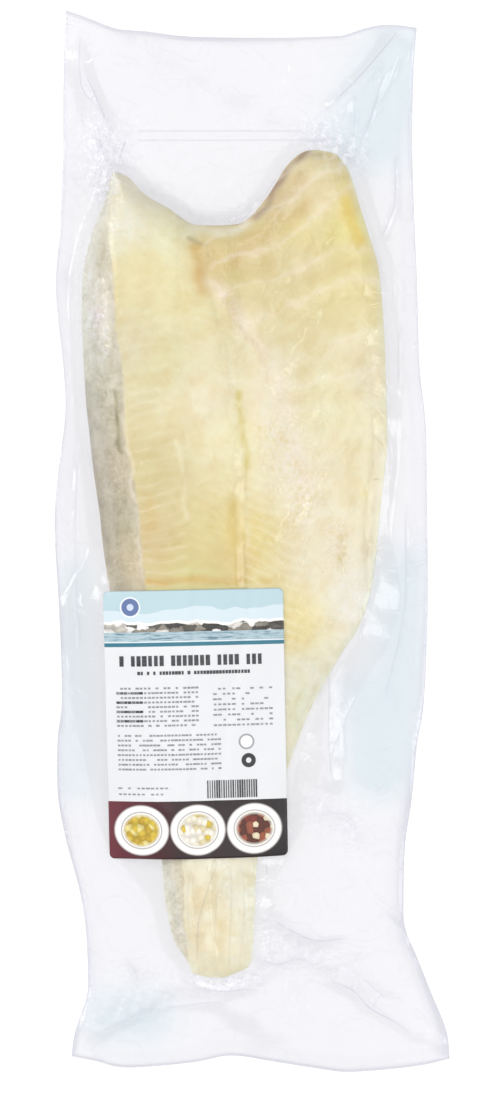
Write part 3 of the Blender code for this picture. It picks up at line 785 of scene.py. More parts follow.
def flesh_material():
    """Stockfish soaked in lye: a firm, wet jelly of flakes, half clear, so light goes some millimetres in.

    The sheets between the flakes are whiter and cloudier than the flakes. The skin on the back keeps its
    silver and its olive mottling.
    """
    material, add = new_material("lye_soaked_cod")
    place = add("TexCoord").outputs["Object"]
    tone = add("Attribute", attribute_name="tone").outputs["Color"]
    count, shown, skin, webbed = (
        add("Attribute", attribute_name=name).outputs["Fac"]
        for name in ("flake", "flake_shown", "skin", "web")
    )
    # Fibres run along the fish, about a millimetre apart, and the cloudiness changes over about a centimetre.
    along = add("Mapping", {"Vector": place, "Scale": (700.0, 330.0, 300.0)})
    fibre = add("TexNoise", {"Vector": along, "Scale": 1.0, "Detail": 3.0, "Roughness": 0.6})
    grain = add("MapRange", fibre, 0.3, 0.7, 0.975, 1.015)
    cloud = add("TexNoise", {"Vector": place, "Scale": 95.0, "Detail": 4.0, "Roughness": 0.55})
    mottle = add("MapRange", cloud, 0.32, 0.68)
    warm = add("Mix", mottle, "FFFFFC", "FBF6E8", data_type="RGBA")
    # The white sheets, broken up every six millimetres, with a denser core, and each flake's clear inside.
    wander = add("Math", cloud, 0.30, count, operation="MULTIPLY_ADD")
    gap = add("Math", wander, 0.5, operation="PINGPONG")
    sheet = add("MapRange", gap, 0.0, 0.19, 1.0, 0.0, interpolation_type="SMOOTHSTEP")
    broken = add("TexNoise", {"Vector": place, "Scale": 160.0, "Detail": 1.0})
    broken = add("MapRange", broken, 0.35, 0.65, 0.5, 1.1)
    sheet = add("Math", sheet, broken, operation="MULTIPLY")
    sheet = add("Math", sheet, shown, operation="MULTIPLY", use_clamp=True)
    core = add("MapRange", gap, 0.0, 0.06, 0.85, 0.0, interpolation_type="SMOOTHSTEP")
    core = add("Math", core, 1.0, operation="ADD")
    sheet = add("Math", sheet, core, operation="MULTIPLY", use_clamp=True)
    pale = add("Math", sheet, 0.34, operation="MULTIPLY")
    inner = add("MapRange", gap, 0.15, 0.5, 0.0, 1.0)
    inner = add("Math", inner, shown, operation="MULTIPLY", use_clamp=True)
    deep = add("Math", inner, 0.30, operation="MULTIPLY")
    # Patches of one to two centimetres that took up more lye, clearer and yellower than the rest.
    patch = add("TexNoise", {"Vector": place, "Scale": 52.0, "Detail": 3.0, "Roughness": 0.6})
    patch = add("ValToRGB", patch, stops=[(0.36, "FAF4E0"), (0.50, "FFFEF8"), (0.64, "FDF9EC")])
    # Webs of pale connective tissue, in meshes of four millimetres, with clear jelly between them.
    pulled = add("Mix", 0.004, place, cloud.outputs["Color"], data_type="VECTOR")
    web = add("TexVoronoi", {"Vector": pulled, "Scale": 250.0}, feature="DISTANCE_TO_EDGE")
    thread = add("MapRange", web, 0.02, 0.16, 0.55, 0.0)
    thread = add("Math", thread, webbed, operation="MULTIPLY")
    clear = add("MapRange", web, 0.25, 0.5, 0.0, 0.6)
    clear = add("Math", clear, webbed, operation="MULTIPLY")
    # The skin's mottling: clouds of about 8 mm, and specks of a millimetre where the scales sat.
    patches = add("TexNoise", {"Vector": place, "Scale": 120.0, "Detail": 3.0, "Roughness": 0.5})
    patches = add("ValToRGB", patches, stops=[(0.34, "ECEAE2"), (0.48, "F9F8F4"), (0.64, "FFFFFF")])
    specks = add("TexNoise", {"Vector": place, "Scale": 420.0, "Detail": 3.0, "Roughness": 0.65})
    specks = add("ValToRGB", specks, stops=[(0.36, "EAE8E2"), (0.46, "F8F7F3"), (0.62, "FFFFFF")])
    flesh, back = tone, tone
    for share, over, blend in (
        (1.0, warm, "MULTIPLY"), (deep, "EAD8A0", "MULTIPLY"), (pale, "FBF0DF", "MIX"),
        (1.0, patch, "MULTIPLY"), (thread, "FCF1E6", "MIX"), (clear, "EAD9A6", "MIX"),
        (1.0, grain, "MULTIPLY"),
    ):
        flesh = add("Mix", share, flesh, over, data_type="RGBA", blend_type=blend)
    for mottling in (patches, specks):
        back = add("Mix", 1.0, back, mottling, data_type="RGBA", blend_type="MULTIPLY")
    rough = add("MapRange", cloud, 0.3, 0.7, 0.30, 0.46)
    height = add("Math", fibre, 0.4, sheet, operation="MULTIPLY_ADD")
    shader = add("BsdfPrincipled", {
        "Base Color": add("Mix", skin, flesh, back, data_type="RGBA"), "Roughness": rough, "IOR": 1.36,
        "Normal": add("Bump", {"Strength": 0.25, "Distance": 0.0004, "Height": height}),
        "Subsurface Weight": 0.20, "Subsurface Radius": (1.0, 0.75, 0.45), "Subsurface Scale": 0.003,
    })
    add("OutputMaterial", shader)
    return material


# The print, in millimetres from the label's lower left: the heights of its fields, and the plain round marks,
# each a centre, a radius and a colour.
FOOT_TOP, WATER_FOOT, WATER_TOP, BAND_TOP = 32.5, 119.0, 127.0, 151.0
BADGES = [
    ((15, 141), 5.6, "F1F3F6"), ((15, 141), 4.9, "5F729F"), ((15, 141), 1.9, "C9D2EA"),
    ((78, 65), 4.4, "9A9C9F"), ((78, 65), 3.4, "EBECEE"), ((79, 54.5), 4, "2C2D30"),
    ((79, 54.5), 1.5, "DADBDD"),
]
# Tones of the stones and the water, the rings of a bowl, and what each bowl, by its middle, holds.
STONES = [
    (0.0, "3F3D39"), (0.25, "8C867B"), (0.40, "DEDAD2"), (0.58, "F0EEEA"), (0.80, "5A564E"), (0.92, "C9C4BA"),
]
WATER = [(0.36, "5F7F8C"), (0.46, "9AB3BD"), (0.56, "B4C6CD"), (0.68, "7F9EAA")]
BOWL_RINGS = [
    ((15.4, 14.2), "BDB9B6"), ((14.9, 13.7), "F0EFED"), ((11.6, 10.5), "8C8986"), ((11.1, 10), "F1EFEB"),
    ((10.3, 9.2), "DAD5CB"),
]
BOWL_HEIGHT, BOWL_FILL = 16.2, (9.6, 8.5)
BOWL_FOODS = {
    18.5: [(0, "E8D98C"), (0.35, "D9BC45"), (0.7, "C7A53A")],
    50: [(0, "F5F0E2"), (0.35, "F0E8D2"), (0.7, "D9BC45"), (0.85, "DFD2A6")],
    81.5: [(0, "7E2F22"), (0.35, "5B2A1C"), (0.7, "E8D9B8"), (0.85, "9A5238")],
}


def label_material():
    """Coated label paper, offset printed: a faint satin over flat fields of ink.

    The print is fields and plain shapes: a pale band with a shore of stones over water at the top, and a dark
    field with three white bowls at the foot. Places on it are in millimetres from its lower left.
    """
    material, add = new_material("coated_label_paper")
    place = add("UVMap", uv_map="print").outputs["UV"]
    place = add("Mapping", {"Vector": place, "Scale": (100.0, 150.0, 1.0)})
    parts = add("SeparateXYZ", place).outputs
    band = between(add, parts["Y"], WATER_FOOT, BAND_TOP)

    def crest(level, swing, waves):
        """1 in the band, below a line round a level, with this swing and so many waves a millimetre."""
        # The location only picks the stretch of noise that gives the waves.
        shift = add("Mapping", {"Vector": place, "Location": (40.3, 15.5, 0.0), "Scale": (1.0, 0.0, 0.0)})
        wave = add("TexNoise", {"Vector": shift, "Scale": waves, "Detail": 2.0, "Roughness": 0.5})
        edge = add("Math", wave, swing * 2.4, level - swing * 1.2, operation="MULTIPLY_ADD")
        below = add("Math", parts["Y"], edge, operation="LESS_THAN")
        return add("Math", below, band, operation="MULTIPLY")

    def pebbles(where, scale, stops, shade):
        """Cells of a few colours, each darker towards its rim."""
        cells = add("TexVoronoi", {
            "Vector": where, "Scale": scale, "Randomness": 0.9}, voronoi_dimensions="2D")
        pick = add("SeparateColor", cells.outputs["Color"])
        colour = add("ValToRGB", pick, stops=stops)
        colour.color_ramp.interpolation = "CONSTANT"
        rim = add("MapRange", cells.outputs["Distance"], *shade)
        return add("Mix", 1.0, colour, rim, data_type="RGBA", blend_type="MULTIPLY")

    # As printed: stones of about 7 by 4 mm, streaks of water 11 mm long, and food in pieces of about 3 mm.
    shake = add("TexNoise", {"Vector": place, "Scale": 0.25, "Detail": 3.0}).outputs["Color"]
    shake = add("VectorMath", shake, (5.0, 5.0, 0.0), operation="MULTIPLY")
    shake = add("VectorMath", shake, place, operation="ADD")
    shake = add("Mapping", {"Vector": shake, "Scale": (0.15, 0.28, 1.0)})
    stone = pebbles(shake, 1.0, STONES, (0.15, 0.8, 1.0, 0.55))
    water = add("Mapping", {"Vector": place, "Scale": (0.09, 0.75, 1.0)})
    water = add("TexNoise", {"Vector": water, "Scale": 1.0, "Detail": 3.0, "Roughness": 0.6})
    water = add("ValToRGB", water, stops=WATER)
    ground = add("MapRange", parts["X"], 0.0, 100.0)
    foot = add("ValToRGB", ground, stops=[(0.0, "6A2E38"), (0.40, "2E191C"), (1.0, "201C1D")])
    for middle, stops in BOWL_FOODS.items():
        food = pebbles(place, 0.30, stops, (0.1, 0.7, 1.0, 0.70))
        for radii, ink, soft in [(radii, ink, 0.03) for radii, ink in BOWL_RINGS] + [(BOWL_FILL, food, 0.10)]:
            inside = oval(add, place, (middle, BOWL_HEIGHT), radii, soft)
            foot = add("Mix", inside, foot, ink, data_type="RGBA")
    colour = "DFE0E2"
    for mask, ink in (
        (band, "B5CDD4"), (crest(139.5, 8.0, 0.036), "CFDDE3"), (crest(133.0, 4.0, 0.07), "F1F0EC"),
        (crest(131.5, 4.0, 0.07), stone),
        (between(add, parts["Y"], WATER_FOOT, WATER_TOP), water),
        (between(add, parts["Y"], WATER_FOOT, WATER_FOOT + 2.2), "2F7285"),
        (between(add, parts["Y"], WATER_FOOT + 2.2, WATER_FOOT + 2.9), "DCE5E8"),
        *[(oval(add, place, centre, (radius, radius)), ink) for centre, radius, ink in BADGES],
        (between(add, parts["Y"], -1.0, FOOT_TOP), foot),
    ):
        colour = add("Mix", mask, colour, ink, data_type="RGBA")
    # The paper's tooth, a third of a millimetre.
    tooth = add("TexNoise", {"Vector": place, "Scale": 3.0, "Detail": 2.0})
    bump = add("Bump", {"Strength": 0.05, "Distance": 0.0002, "Height": tooth})
    rough = add("MapRange", tooth, 0.3, 0.7, 0.34, 0.44)
    shader = add("BsdfPrincipled", {"Base Color": colour, "Roughness": rough, "IOR": 1.5, "Normal": bump})
    add("OutputMaterial", shader)
    return material


def ink_material(name, dark, light):
    """Black offset ink on coated paper, solid or as a screen of fine strokes, with the paper's satin."""
    material, add = new_material(name)
    wear = add("TexNoise", {"Vector": add("TexCoord").outputs["Object"], "Scale": 700.0, "Detail": 2.0})
    colour = add("ValToRGB", wear, stops=[(0.35, dark), (0.65, light)])
    add("OutputMaterial", add("BsdfPrincipled", {"Base Color": colour, "Roughness": 0.45, "IOR": 1.5}))
    return material


# Tones of the fish

# Colours of the flesh where it changes, before the light and the film.
FLESH_TONES = {
    "tip of the back lobe": (-75, 197, "ECE6D9"),
    "back lobe": (-68, 178, "ECE7DA"),
    "head of the loin, back": (-57, 150, "E9DBA6"),
    "head of the loin, middle": (-40, 138, "ECE1B2"),
    "loin beside the skin": (-66, 105, "E1D5B1"),
    "loin": (-50, 100, "E3D8AA"),
    "crest of the loin": (-26, 100, "EBE0BC"),
    "above the furrow": (-23, 79, "F1E6CC"),
    "furrow": (-7, 62, "F5EBC6"),
    "furrow, low": (-5, 1, "EEDB92"),
    "low loin, back": (-57, 40, "DBCB91"),
    "low loin": (-55, 1, "DCC58D"),
    "low crest": (-26, -2, "E2CF8B"),
    "loin at the label": (-30, -20, "DBD48E"),
    "notch, back side": (-45, 168, "EEE8CA"),
    "notch": (-18, 150, "DFCC8C"),
    "belly side of the notch": (4, 170, "DFC98E"),
    "cut edge of the flap": (16, 190, "EAD8B4"),
    "tip of the flap": (38, 208, "E8DBB6"),
    "flap below its tip": (36, 190, "F0E1BA"),
    "flap, first flake": (24, 174, "EBD996"),
    "flap, outer": (52, 176, "EBDD8E"),
    "flap, second flake": (24, 157, "EBDCB0"),
    "flap, third flake": (49, 141, "ECDDA6"),
    "broad flap": (44, 79, "F1E7C4"),
    "beside the seam": (10, 79, "F2E6CE"),
    "seam": (27, 34, "F4E9D3"),
    "flap's rim": (68, 90, "EEE3CA"),
    "low flap": (38, -10, "F2E6D0"),
    "low rim": (61, -33, "F4EEEC"),
    "flap's point": (33, -78, "E9E4D6"),
    "low flap at the label": (21, -44, "F1E0A3"),
    "tail": (-21, -212, "F9EFDC"),
    "tail, belly side": (-4, -205, "F0EBE0"),
}
# Stains in the flesh, and painted shade under the notch's lip and on the flap's low rim: what they are,
# then a path, a colour, a strength and a half width.
STAINS = {
    "brown corner of the notch": ([(-32, 162), (-29.2, 152), (-26.5, 139)], "D6A93A", 0.88, 4.2),
    "tan of the notch": ([(-29, 158), (-11, 160)], "E2CA7C", 0.5, 7.5),
    "olive lip of the notch": ([(-34.5, 168), (-30, 165.5), (-26.2, 164)], "A08C50", 0.5, 1.2),
    "tan below the notch": ([(-24.5, 156), (-21.5, 144)], "CDB26E", 0.45, 4.8),
    "brown of the notch": ([(-11, 155), (0, 162)], "CFA24C", 0.42, 3.8),
    "cream rim of the notch": ([(-33, 173.5), (-11, 172.5), (-2, 175.5)], "F6EFDC", 0.85, 2.6),
    # Painted shadow: a thin dark line along the notch's lip.
    "painted shadow line of the notch": ([(-42, 181.5), (-28, 176.3), (-8, 176.8)], "B8A080", 0.5, 1),
    "brown cut edge": (
        [(2, 180), (10.5, 190.5), (16.5, 201.5), (22.5, 211), (30, 217.5)], "98745A", 0.85, 2.6),
    "tan cut edge": ([(11, 180), (20, 193), (28, 204)], "CFAF74", 0.42, 4),
    "tan of the first flake": ([(0, 166), (18, 176), (30, 187)], "D8BA66", 0.42, 4.8),
    "olive of the flap's tip": ([(30, 215), (37, 215)], "A8965C", 0.5, 2.2),
    "fat": ([(52, 189), (55.5, 178), (58.5, 170)], "F4D454", 0.85, 3),
    "fat, paler": ([(51, 198), (58, 164)], "EED67C", 0.5, 5.5),
    "brown at the seam's head": ([(-20, 150), (-15, 137), (-12, 126)], "DDB758", 0.5, 3.6),
    "pale seam": (
        [(-20, 143), (-9.5, 127.5), (1.3, 112), (10, 100), (17.5, 81), (22.5, 57), (29, 35)],
        "F8EADF", 0.6, 5),
    "thin line by the seam": ([(-6, 118), (3, 106), (8, 96)], "D9BE92", 0.45, 1.2),
    "yellow furrow": ([(-8, 83), (-6.5, 70), (-4.5, 56), (-2.5, 40)], "DECA5C", 0.75, 2),
    "orange furrow": ([(-11, 20), (-10, 0), (-8, -20)], "DFBC4C", 0.6, 4.2),
    "pale furrow": ([(-4, 26), (-3, 4), (-2.5, -12)], "F3E6C0", 0.6, 1.6),
    "pale crest": ([(-41.5, 56), (-38, 34), (-35.8, 12)], "F5EACE", 0.6, 1.4),
    "orange at the label": ([(-65, -22.5), (-29, -21.8), (-6, -21.5)], "D8AC38", 0.85, 2.4),
    "yellow at the label": ([(-3, -21.2), (14, -20.5)], "DDBE50", 0.55, 2),
    "yellow above the label": ([(-49, -11), (-7, -10)], "DCC070", 0.45, 8),
    "orange of the low loin": ([(-57.5, 24), (-55.5, 7)], "DCBB64", 0.5, 3.6),
    "yellow of the flap": ([(52, 2), (48, -10)], "D8C474", 0.45, 2.8),
    "yellow of the rim": ([(60, 30), (62, 26)], "E8D070", 0.4, 3.4),
    # Painted shade: darkens the flap's steep low rim.
    "shade of the low rim": ([(71.5, 56), (69.2, 16), (65, -20)], "CFC0A0", 0.55, 4),
    "green of the flap's point": ([(27, -85), (23, -101)], "DEE0C6", 0.6, 6),
    "brown tail streak": ([(-33, -186), (-29, -204), (-28, -228)], "E0CBA4", 0.5, 3.4),
    "gold tail streak": ([(-20, -186), (-21, -206), (-17, -230)], "E9DAB0", 0.5, 3),
    "pale tail streak": ([(-26.5, -180), (-24.5, -200)], "F4ECDA", 0.6, 1.6),
}
# Stains over the skin and its edge, and a painted shadow along the back's rim.
SKIN_STAINS = {
    "olive line at the flesh": ([(-77, 83), (-75, 68), (-72.2, 51)], "948A50", 0.9, 1.4),
    "pale line beside it": (
        [(-72.2, 84), (-70.2, 64), (-67.2, 40), (-63.5, 10), (-60.5, -22)], "F3EBD6", 0.6, 1.2),
    "olive streak at the shoulder": ([(-80, 171), (-81.5, 160), (-84.5, 148)], "B8AF88", 0.5, 2.2),
    "lilac patch": ([(-86, 128), (-84.5, 122)], "EAE0E2", 0.55, 3.6),
    # Painted shadow along the rim of the back.
    "painted shadow of the back": ([(-92.5, 88), (-88.5, 50), (-83.5, 12), (-80.8, -12)], "A39A86", 0.5, 2.4),
    "silver belly of the back": ([(-87, 70), (-81, 30), (-76.5, -5)], "D6D0BE", 0.4, 2.6),
    "brown patch": ([(-80, 20), (-77, 4)], "B5A88C", 0.4, 3),
    "white fold of the tail": ([(-45.5, -192), (-42.5, -206), (-36, -226)], "EEF0E8", 0.55, 1.8),
}
# The skin from the tail up: heights, and its colours at the rim and where it meets the flesh.
SKIN_TONES = [
    (-215, "F8F9F2", "E6DFCE"), (-190, "F2F4EC", "E6DCC4"), (-60, "D4D2CC", "D8CDB4"),
    (-10, "C6BCA4", "D8C9A2"), (12, "B6AC96", "CFC9AE"), (35, "B6AC98", "D2C6A8"),
    (57, "C0BCB2", "D2C7AA"), (79, "C4C6B8", "D2C9B0"), (102, "D6D9CE", "DCD7C2"),
    (130, "E2E4DC", "E5DFD2"), (158, "EAECE6", "DDD8C3"), (200, "EAEBE3", "E6E2D0"),
]


def blended_tones(points):
    """The flesh's colour between the nearest tones, smooth everywhere."""
    total, weight = np.zeros((len(points), 3)), np.zeros(len(points))
    for x, y, colour in FLESH_TONES.values():
        near = 1 / (np.sum((points - metres([x, y])) ** 2, axis=1) + 0.006**2) ** 1.6
        total += near[:, None] * np.array(linear(colour)[:3])
        weight += near
    return total / weight[:, None]


def stained(tone, points, stains):
    """Tones with stains over them, whose edges wander a little."""
    drift = np.stack([ripple(points, 0.012, 61), ripple(points, 0.012, 62)], axis=1) * 0.0012
    for path, colour, strength, half_width in stains.values():
        share = strength * bell(path_distance(points + drift, path) / (half_width * MM))
        share = np.clip(share * (0.9 + 0.25 * ripple(points, 0.007, 63)), 0, 1)
        tone = mix(tone, np.array(linear(colour)[:3]), share[:, None])
    return tone


def flesh_tones(points):
    """Tones and stains, and a milky, slightly green rim where the flap thins out."""
    inward = signed_distance(points, fish_outline)
    thin = 0.55 * bell(inward / 0.0026) * smoothstep((points[:, 0] - 0.045) / 0.01)
    thin = np.maximum(thin, 0.5 * bell(inward / 0.003) * (points[:, 1] < -0.03))[:, None]
    return mix(stained(blended_tones(points), points, STAINS), np.array(linear("E6E8DA")[:3]), thin)


def skin_tones(points):
    """From the rim to the flesh, and along the back."""
    heights, *sides = zip(*SKIN_TONES)
    blends = []
    for colours in sides:
        table = np.array([linear(colour)[:3] for colour in colours])
        parts = [np.interp(points[:, 1], metres(heights), column) for column in table.T]
        blends.append(np.stack(parts, axis=1))
    from_rim, from_flesh = beside(fish_left.points, points), beside(SKIN_EDGE, points)
    share = np.clip(from_rim / (from_rim - from_flesh), 0, 1)[:, None]
    return mix(*blends, share) * (1 - 0.10 * bell((share - 0.30) / 0.22))


# Pieces

def make_fillet():
    """The side of lutefisk, flesh side up."""
    upper, lower = fish_grid(*FISH_CELLS), fish_grid(*[n // 2 for n in FISH_CELLS])
    top, under = Surfaces(upper.reshape(-1, 2)), Surfaces(lower.reshape(-1, 2))
    sheets = lifted(upper, top.flesh), lifted(lower, under.flesh_underside())
    piece = pillow("fillet", *sheets, flesh_material())
    places = np.vstack([top.points, under.points])
    skin = np.concatenate([skin_cover(top.points), np.ones(len(under.points))])
    tone = mix(flesh_tones(places) * FLESH_GAIN, skin_tones(places) * SKIN_GAIN, skin[:, None])
    tone = np.clip(stained(tone, places, SKIN_STAINS), 0, 1)
    count, shown = flakes(places)
    web = np.clip(strokes(places, WEBS), 0, 1) * (1 - skin)
    paint(piece, tone=np.insert(tone, 3, 1.0, axis=1), flake=count, flake_shown=shown, web=web, skin=skin)
    return piece


def make_film():
    """The two closed sheets of the pouch, as one thin skin round the fish."""
    upper = pouch_grid(FILM_COLUMNS, FILM_ROWS)
    lower = upper[::2, ::2]
    top, under = Surfaces(upper.reshape(-1, 2)), Surfaces(lower.reshape(-1, 2))
    sheets = lifted(upper, top.upper_film()), lifted(lower, under.lower_film())
    piece = pillow("film", *sheets, film_material())
    places = np.vstack([top.points, under.points])
    rim = signed_distance(places, pouch_outline)
    outside = -signed_distance(places, fish_outline)
    uncovered = 1 - under_label(places)
    # Denser along the seal and the cut edge; painted shade along the folds and the ridges of gathered film.
    seal = smoothstep((SEAL_WIDTH - rim) / 0.0012 + 0.5) * (1 - smoothstep((places[:, 1] - 0.262) / 0.01))
    dense = 0.09 * seal + 0.14 * smoothstep((0.0032 - rim) / 0.0012)
    dense += 0.5 * smoothstep((0.0010 - rim) / 0.0007)
    # Painted shade: thin dark lines along the folds.
    thin_folds = [(path, min(1.0, height / 1.2), 1.1) for path, height, _ in FOLDS]
    dense += 0.15 * strokes(places, thin_folds, sharp=True) * smoothstep(outside / 0.002 + 0.5)
    gathers = strokes(places, GATHERS)
    crinkled = np.clip(gathers, 0, 1) * uncovered
    # Painted shade on the ridges of gathered film.
    dense += 0.45 * crinkled * pucker(places, 0.0040, 83)
    # Milky where it is gathered, partly real scattering and partly painted sparkle.
    haze = 0.07 + 0.40 * crinkled * np.clip(0.2 + 1.2 * ripple(places, 0.0030, 81), 0, 1)
    # Painted highlight on the pucker round the tail's end.
    haze += 0.45 * strokes(places, TAIL_PUCKER_HIGHLIGHT)
    outside = np.clip(outside, 0, None)
    # Painted light: a little more milkiness beside the fish, which lifts the shade there.
    haze += 0.05 * bell(outside / 0.014) * smoothstep(outside / 0.002)
    offset, gap, sharp = nearest_crease(places)
    paint(
        piece, haze=haze, dense=np.clip(dense, 0, 1),
        gathered=np.clip(gathers * 0.8 + strokes(places, CRACKLES), 0, 1) * uncovered,
        blue_zone=np.clip(strokes(places, BLUE_ZONES), 0, 1),
        crease_offset=offset, crease_gap=gap, crease_sharp=sharp,
    )
    return piece


def make_label():
    """The paper sticker, bent to the film under it, with its print's own map."""
    grids = [label_grid(*LABEL_CELLS), label_grid(*[n // 2 for n in LABEL_CELLS])]
    sheets = []
    for grid, over in zip(grids, (LABEL_THICK, 0.0)):
        plan = turned(grid, LABEL_TURN) + LABEL_CENTRE
        sheets.append(lifted(plan, label_height(plan.reshape(-1, 2)) + over))
    piece = pillow("label_sheet", *sheets, label_material())
    spots = np.vstack([grid.reshape(-1, 2) for grid in grids]) / LABEL_SIZE + 0.5
    corners = np.zeros(len(piece.data.loops), int)
    piece.data.loops.foreach_get("vertex_index", corners)
    piece.data.uv_layers.new(name="print").data.foreach_set("uv", spots[corners].ravel())
    return piece


# Blocks of print: places from the label's centre and lengths, in millimetres, then counts, shares and a seed.
PRINT_LENGTHS = ("Left", "Foot", "Width", "Row Pitch", "Dash Pitch", "Dash Height")
PRINT_COUNTS = ("Rows", "Shortest", "Longest", "Fill", "Seed")
PRINT = {
    "print_heading": (-40.5, 36, 80, 3, 3.2, 5.8, 1, 0.6, 0.84, 0.9, 6),
    "print_subheading": (-31, 29.2, 61, 3, 1.7, 1.9, 1, 0.6, 0.95, 0.88, 8),
    "print_column_left": (-43, 0, 44, 2.6, 2.1, 1.05, 9, 0.55, 0.98, 0.84, 12),
    "print_column_right": (11, -0.5, 31, 2.9, 2.4, 1, 8, 0.5, 0.95, 0.62, 21),
    "print_bold_words": (-43, 2.6, 13, 5.2, 2.1, 1.35, 4, 0.8, 1.0, 0.95, 17),
    "print_paragraph": (-43, -24.5, 56, 2.7, 2, 1, 8, 0.5, 1.0, 0.85, 33),
    "print_code": (6, -36.2, 27, 3, 1.25, 10, 1, 0.3, 0.8, 0.95, 5),
    "print_note": (-43, -38.5, 26, 3.4, 2.4, 0.9, 2, 0.5, 1.0, 0.75, 44),
}
SOLID_PRINT = ("print_heading", "print_subheading", "print_bold_words", "print_code")
INK_THICK = 0.00008
INK_CLEAR = 0.00010


def dash_tree():
    """Rows of short dashes of ink, laid on a surface under them."""
    tree = bpy.data.node_groups.new("printed_rows", "GeometryNodeTree")
    add = partial(add_node, tree)
    sockets = {}
    kinds = {"Paper": "Object", "Ink": "Material", "Rows": "Int", "Seed": "Int"}
    for name in ("Paper", "Ink", *PRINT_LENGTHS, *PRINT_COUNTS):
        kind = "NodeSocket" + kinds.get(name, "Float")
        sockets[name] = tree.interface.new_socket(name, in_out="INPUT", socket_type=kind).identifier
    tree.interface.new_socket("Print", in_out="OUTPUT", socket_type="NodeSocketGeometry")
    given = add("NodeGroupInput").outputs
    columns = add("Math", given["Width"], given["Dash Pitch"], operation="DIVIDE")
    columns = add("Math", columns, 1.0, operation="ADD")
    span = add("Math", given["Rows"], -1.0, operation="ADD")
    span = add("Math", span, given["Row Pitch"], operation="MULTIPLY")
    grid = add("GeometryNodeMeshGrid", given["Width"], span, columns, given["Rows"])
    kept = add("FunctionNodeRandomValue", {
        "Probability": given["Fill"], "Seed": given["Seed"]}, data_type="BOOLEAN")
    gone = add("FunctionNodeBooleanMath", kept, operation="NOT")
    spots = add("GeometryNodeDeleteGeometry", grid, gone)
    dash = add("GeometryNodeMeshCube", (1.0, 1.0, 1.0), 3, 5)
    other = add("Math", given["Seed"], 50.0, operation="ADD")
    length = add("FunctionNodeRandomValue", {
        "Min": given["Shortest"], "Max": given["Longest"], "Seed": other}, data_type="FLOAT")
    length = add("Math", length, given["Dash Pitch"], operation="MULTIPLY")
    size = add("CombineXYZ", length, given["Dash Height"], INK_THICK)
    laid = add("GeometryNodeInstanceOnPoints", {"Points": spots, "Instance": dash, "Scale": size})
    solid = add("GeometryNodeRealizeInstances", laid)
    middle_x = add("Math", given["Width"], 0.5, given["Left"], operation="MULTIPLY_ADD")
    middle_y = add("Math", span, 0.5, given["Foot"], operation="MULTIPLY_ADD")
    middle = add("CombineXYZ", middle_x, middle_y)
    moved = add("GeometryNodeTransform", {"Geometry": solid, "Translation": middle})
    moved = add("GeometryNodeTransform", {
        "Geometry": moved, "Translation": (*LABEL_CENTRE, 0.0), "Rotation": (0.0, 0.0, LABEL_TURN)})
    place = add("SeparateXYZ", add("GeometryNodeInputPosition")).outputs
    above = add("CombineXYZ", place["X"], place["Y"], 0.2)
    paper = add("GeometryNodeObjectInfo", given["Paper"], transform_space="ORIGINAL").outputs["Geometry"]
    met = add("GeometryNodeRaycast", {
        "Target Geometry": paper, "Source Position": above,
        "Ray Direction": (0.0, 0.0, -1.0), "Ray Length": 1.0,
    })
    height = add("CombineXYZ", {"Z": place["Z"]})
    onto = add("VectorMath", met.outputs["Hit Position"], height, operation="ADD")
    onto = add("VectorMath", onto, (0.0, 0.0, INK_CLEAR), operation="ADD")
    lying = add("GeometryNodeSetPosition", {"Geometry": moved, "Position": onto})
    inked = add("GeometryNodeSetMaterial", {"Geometry": lying, "Material": given["Ink"]})
    add("NodeGroupOutput", inked)
    return tree, sockets


def make_print(paper):
    """The blocks of greeked print and the bars, each one plain mesh on the label."""
    tree, sockets = dash_tree()
    solid = ink_material("offset_black_ink", "303134", "494B4F")
    screened = ink_material("offset_grey_ink", "85878B", "9B9DA1")
    made = []
    for name, sizes in PRINT.items():
        source = new_piece(name + "_source", bpy.data.meshes.new(name + "_source"))
        modifier = source.modifiers.new("rows", "NODES")
        modifier.node_group = tree
        modifier[sockets["Paper"]] = paper
        modifier[sockets["Ink"]] = solid if name in SOLID_PRINT else screened
        for key, value in zip(PRINT_LENGTHS, sizes):
            modifier[sockets[key]] = value * MM
        for key, value in zip(PRINT_COUNTS, sizes[len(PRINT_LENGTHS):]):
            modifier[sockets[key]] = value
        graph = bpy.context.evaluated_depsgraph_get()
        mesh = bpy.data.meshes.new_from_object(
            source.evaluated_get(graph), preserve_all_data_layers=True, depsgraph=graph)
        bpy.data.objects.remove(source)
        mesh.name = name
        made.append(new_piece(name, mesh))
    return made


# The studio

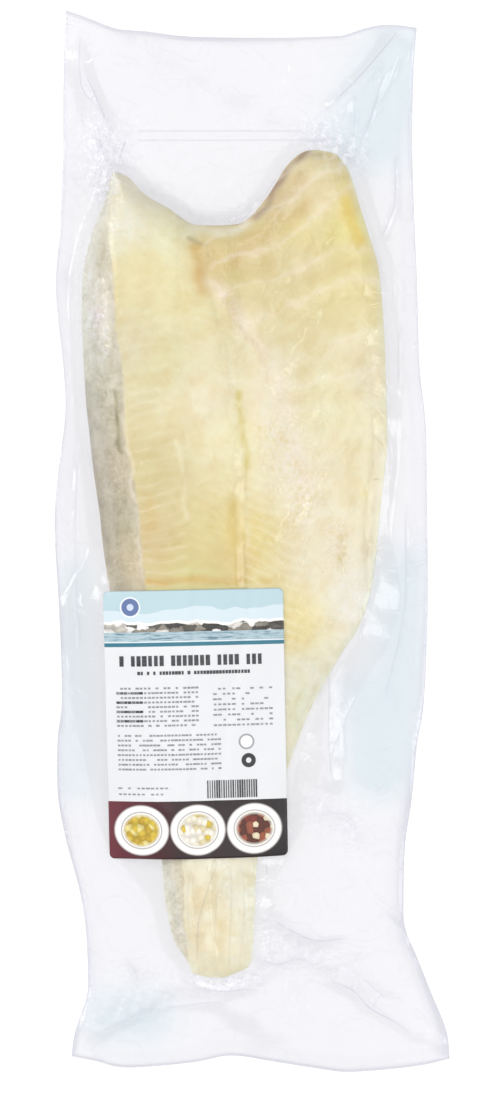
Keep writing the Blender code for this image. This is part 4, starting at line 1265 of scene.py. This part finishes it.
def make_floor():
    """A plain white light table of matt opal board, lit from below, so that clear film shows white."""
    reach = 6.0
    mesh = bpy.data.meshes.new("studio_floor")
    corners = [(-reach, -reach, 0), (reach, -reach, 0), (reach, reach, 0), (-reach, reach, 0)]
    mesh.from_pydata(corners, [], [(0, 1, 2, 3)])
    material, add = new_material("matt_white_board")
    add("OutputMaterial", add("BsdfPrincipled", {
        "Base Color": "B8B8B8", "Roughness": 0.9, "Specular IOR Level": 0.1,
        "Emission Color": "FFFFFF", "Emission Strength": 0.57,
    }))
    mesh.materials.append(material)
    floor = new_piece("studio_floor", mesh)


def make_studio():
    """Two soft boxes, one on each side, a wide panel overhead and a pale grey room round them."""
    for name, place, size, power in (
        ("softbox_left", (-1.75, 0.60, 1.15), (0.8, 1.8), SOFTBOX_LEFT),
        ("softbox_right", (1.80, -0.30, 1.10), (0.8, 1.8), SOFTBOX_RIGHT),
        ("overhead_panel", (0.0, 0.0, 2.4), (2.2, 2.6), OVERHEAD),
    ):
        light = bpy.data.lights.new(name, "AREA")
        light.shape = "RECTANGLE"
        light.size, light.size_y = size
        light.energy = power
        lamp = new_piece(name, light)
        lamp.location = place
        lamp.rotation_euler = (Vector() - Vector(place)).to_track_quat("-Z", "Y").to_euler()
    world = bpy.data.worlds.new("pale_room")
    world.use_nodes = True
    world.node_tree.nodes.clear()
    room = add_node(world.node_tree, "Background", "F6F6F7", ROOM_LIGHT)
    add_node(world.node_tree, "OutputWorld", room)
    bpy.context.scene.world = world


def make_camera():
    """Looks straight down, with the tail at the foot of the picture."""
    camera = bpy.data.cameras.new("camera")
    camera.sensor_width = SENSOR
    camera.lens = SENSOR * CAMERA_HEIGHT / (PICTURE[1] * PIXEL)
    camera.clip_start, camera.clip_end = 0.05, 50.0
    holder = new_piece("camera", camera)
    x, y = (PICTURE[0] / 2 - ORIGIN_PIXEL[0]) * PIXEL, (ORIGIN_PIXEL[1] - PICTURE[1] / 2) * PIXEL
    holder.location = (x, y, CAMERA_HEIGHT + 0.006)
    bpy.context.scene.camera = holder


make_camera()
make_studio()
make_floor()
film = make_film()
fillet = make_fillet()
sheet = make_label()
printed = make_print(sheet)

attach(film, "root")
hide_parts("vacuum_pouch")
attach(fillet, "root")
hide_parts("vacuum_pouch")
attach(sheet, "root")
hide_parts("label")
for piece in printed:
    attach(piece, "root")

bpy.context.scene.view_settings.view_transform = "Standard"
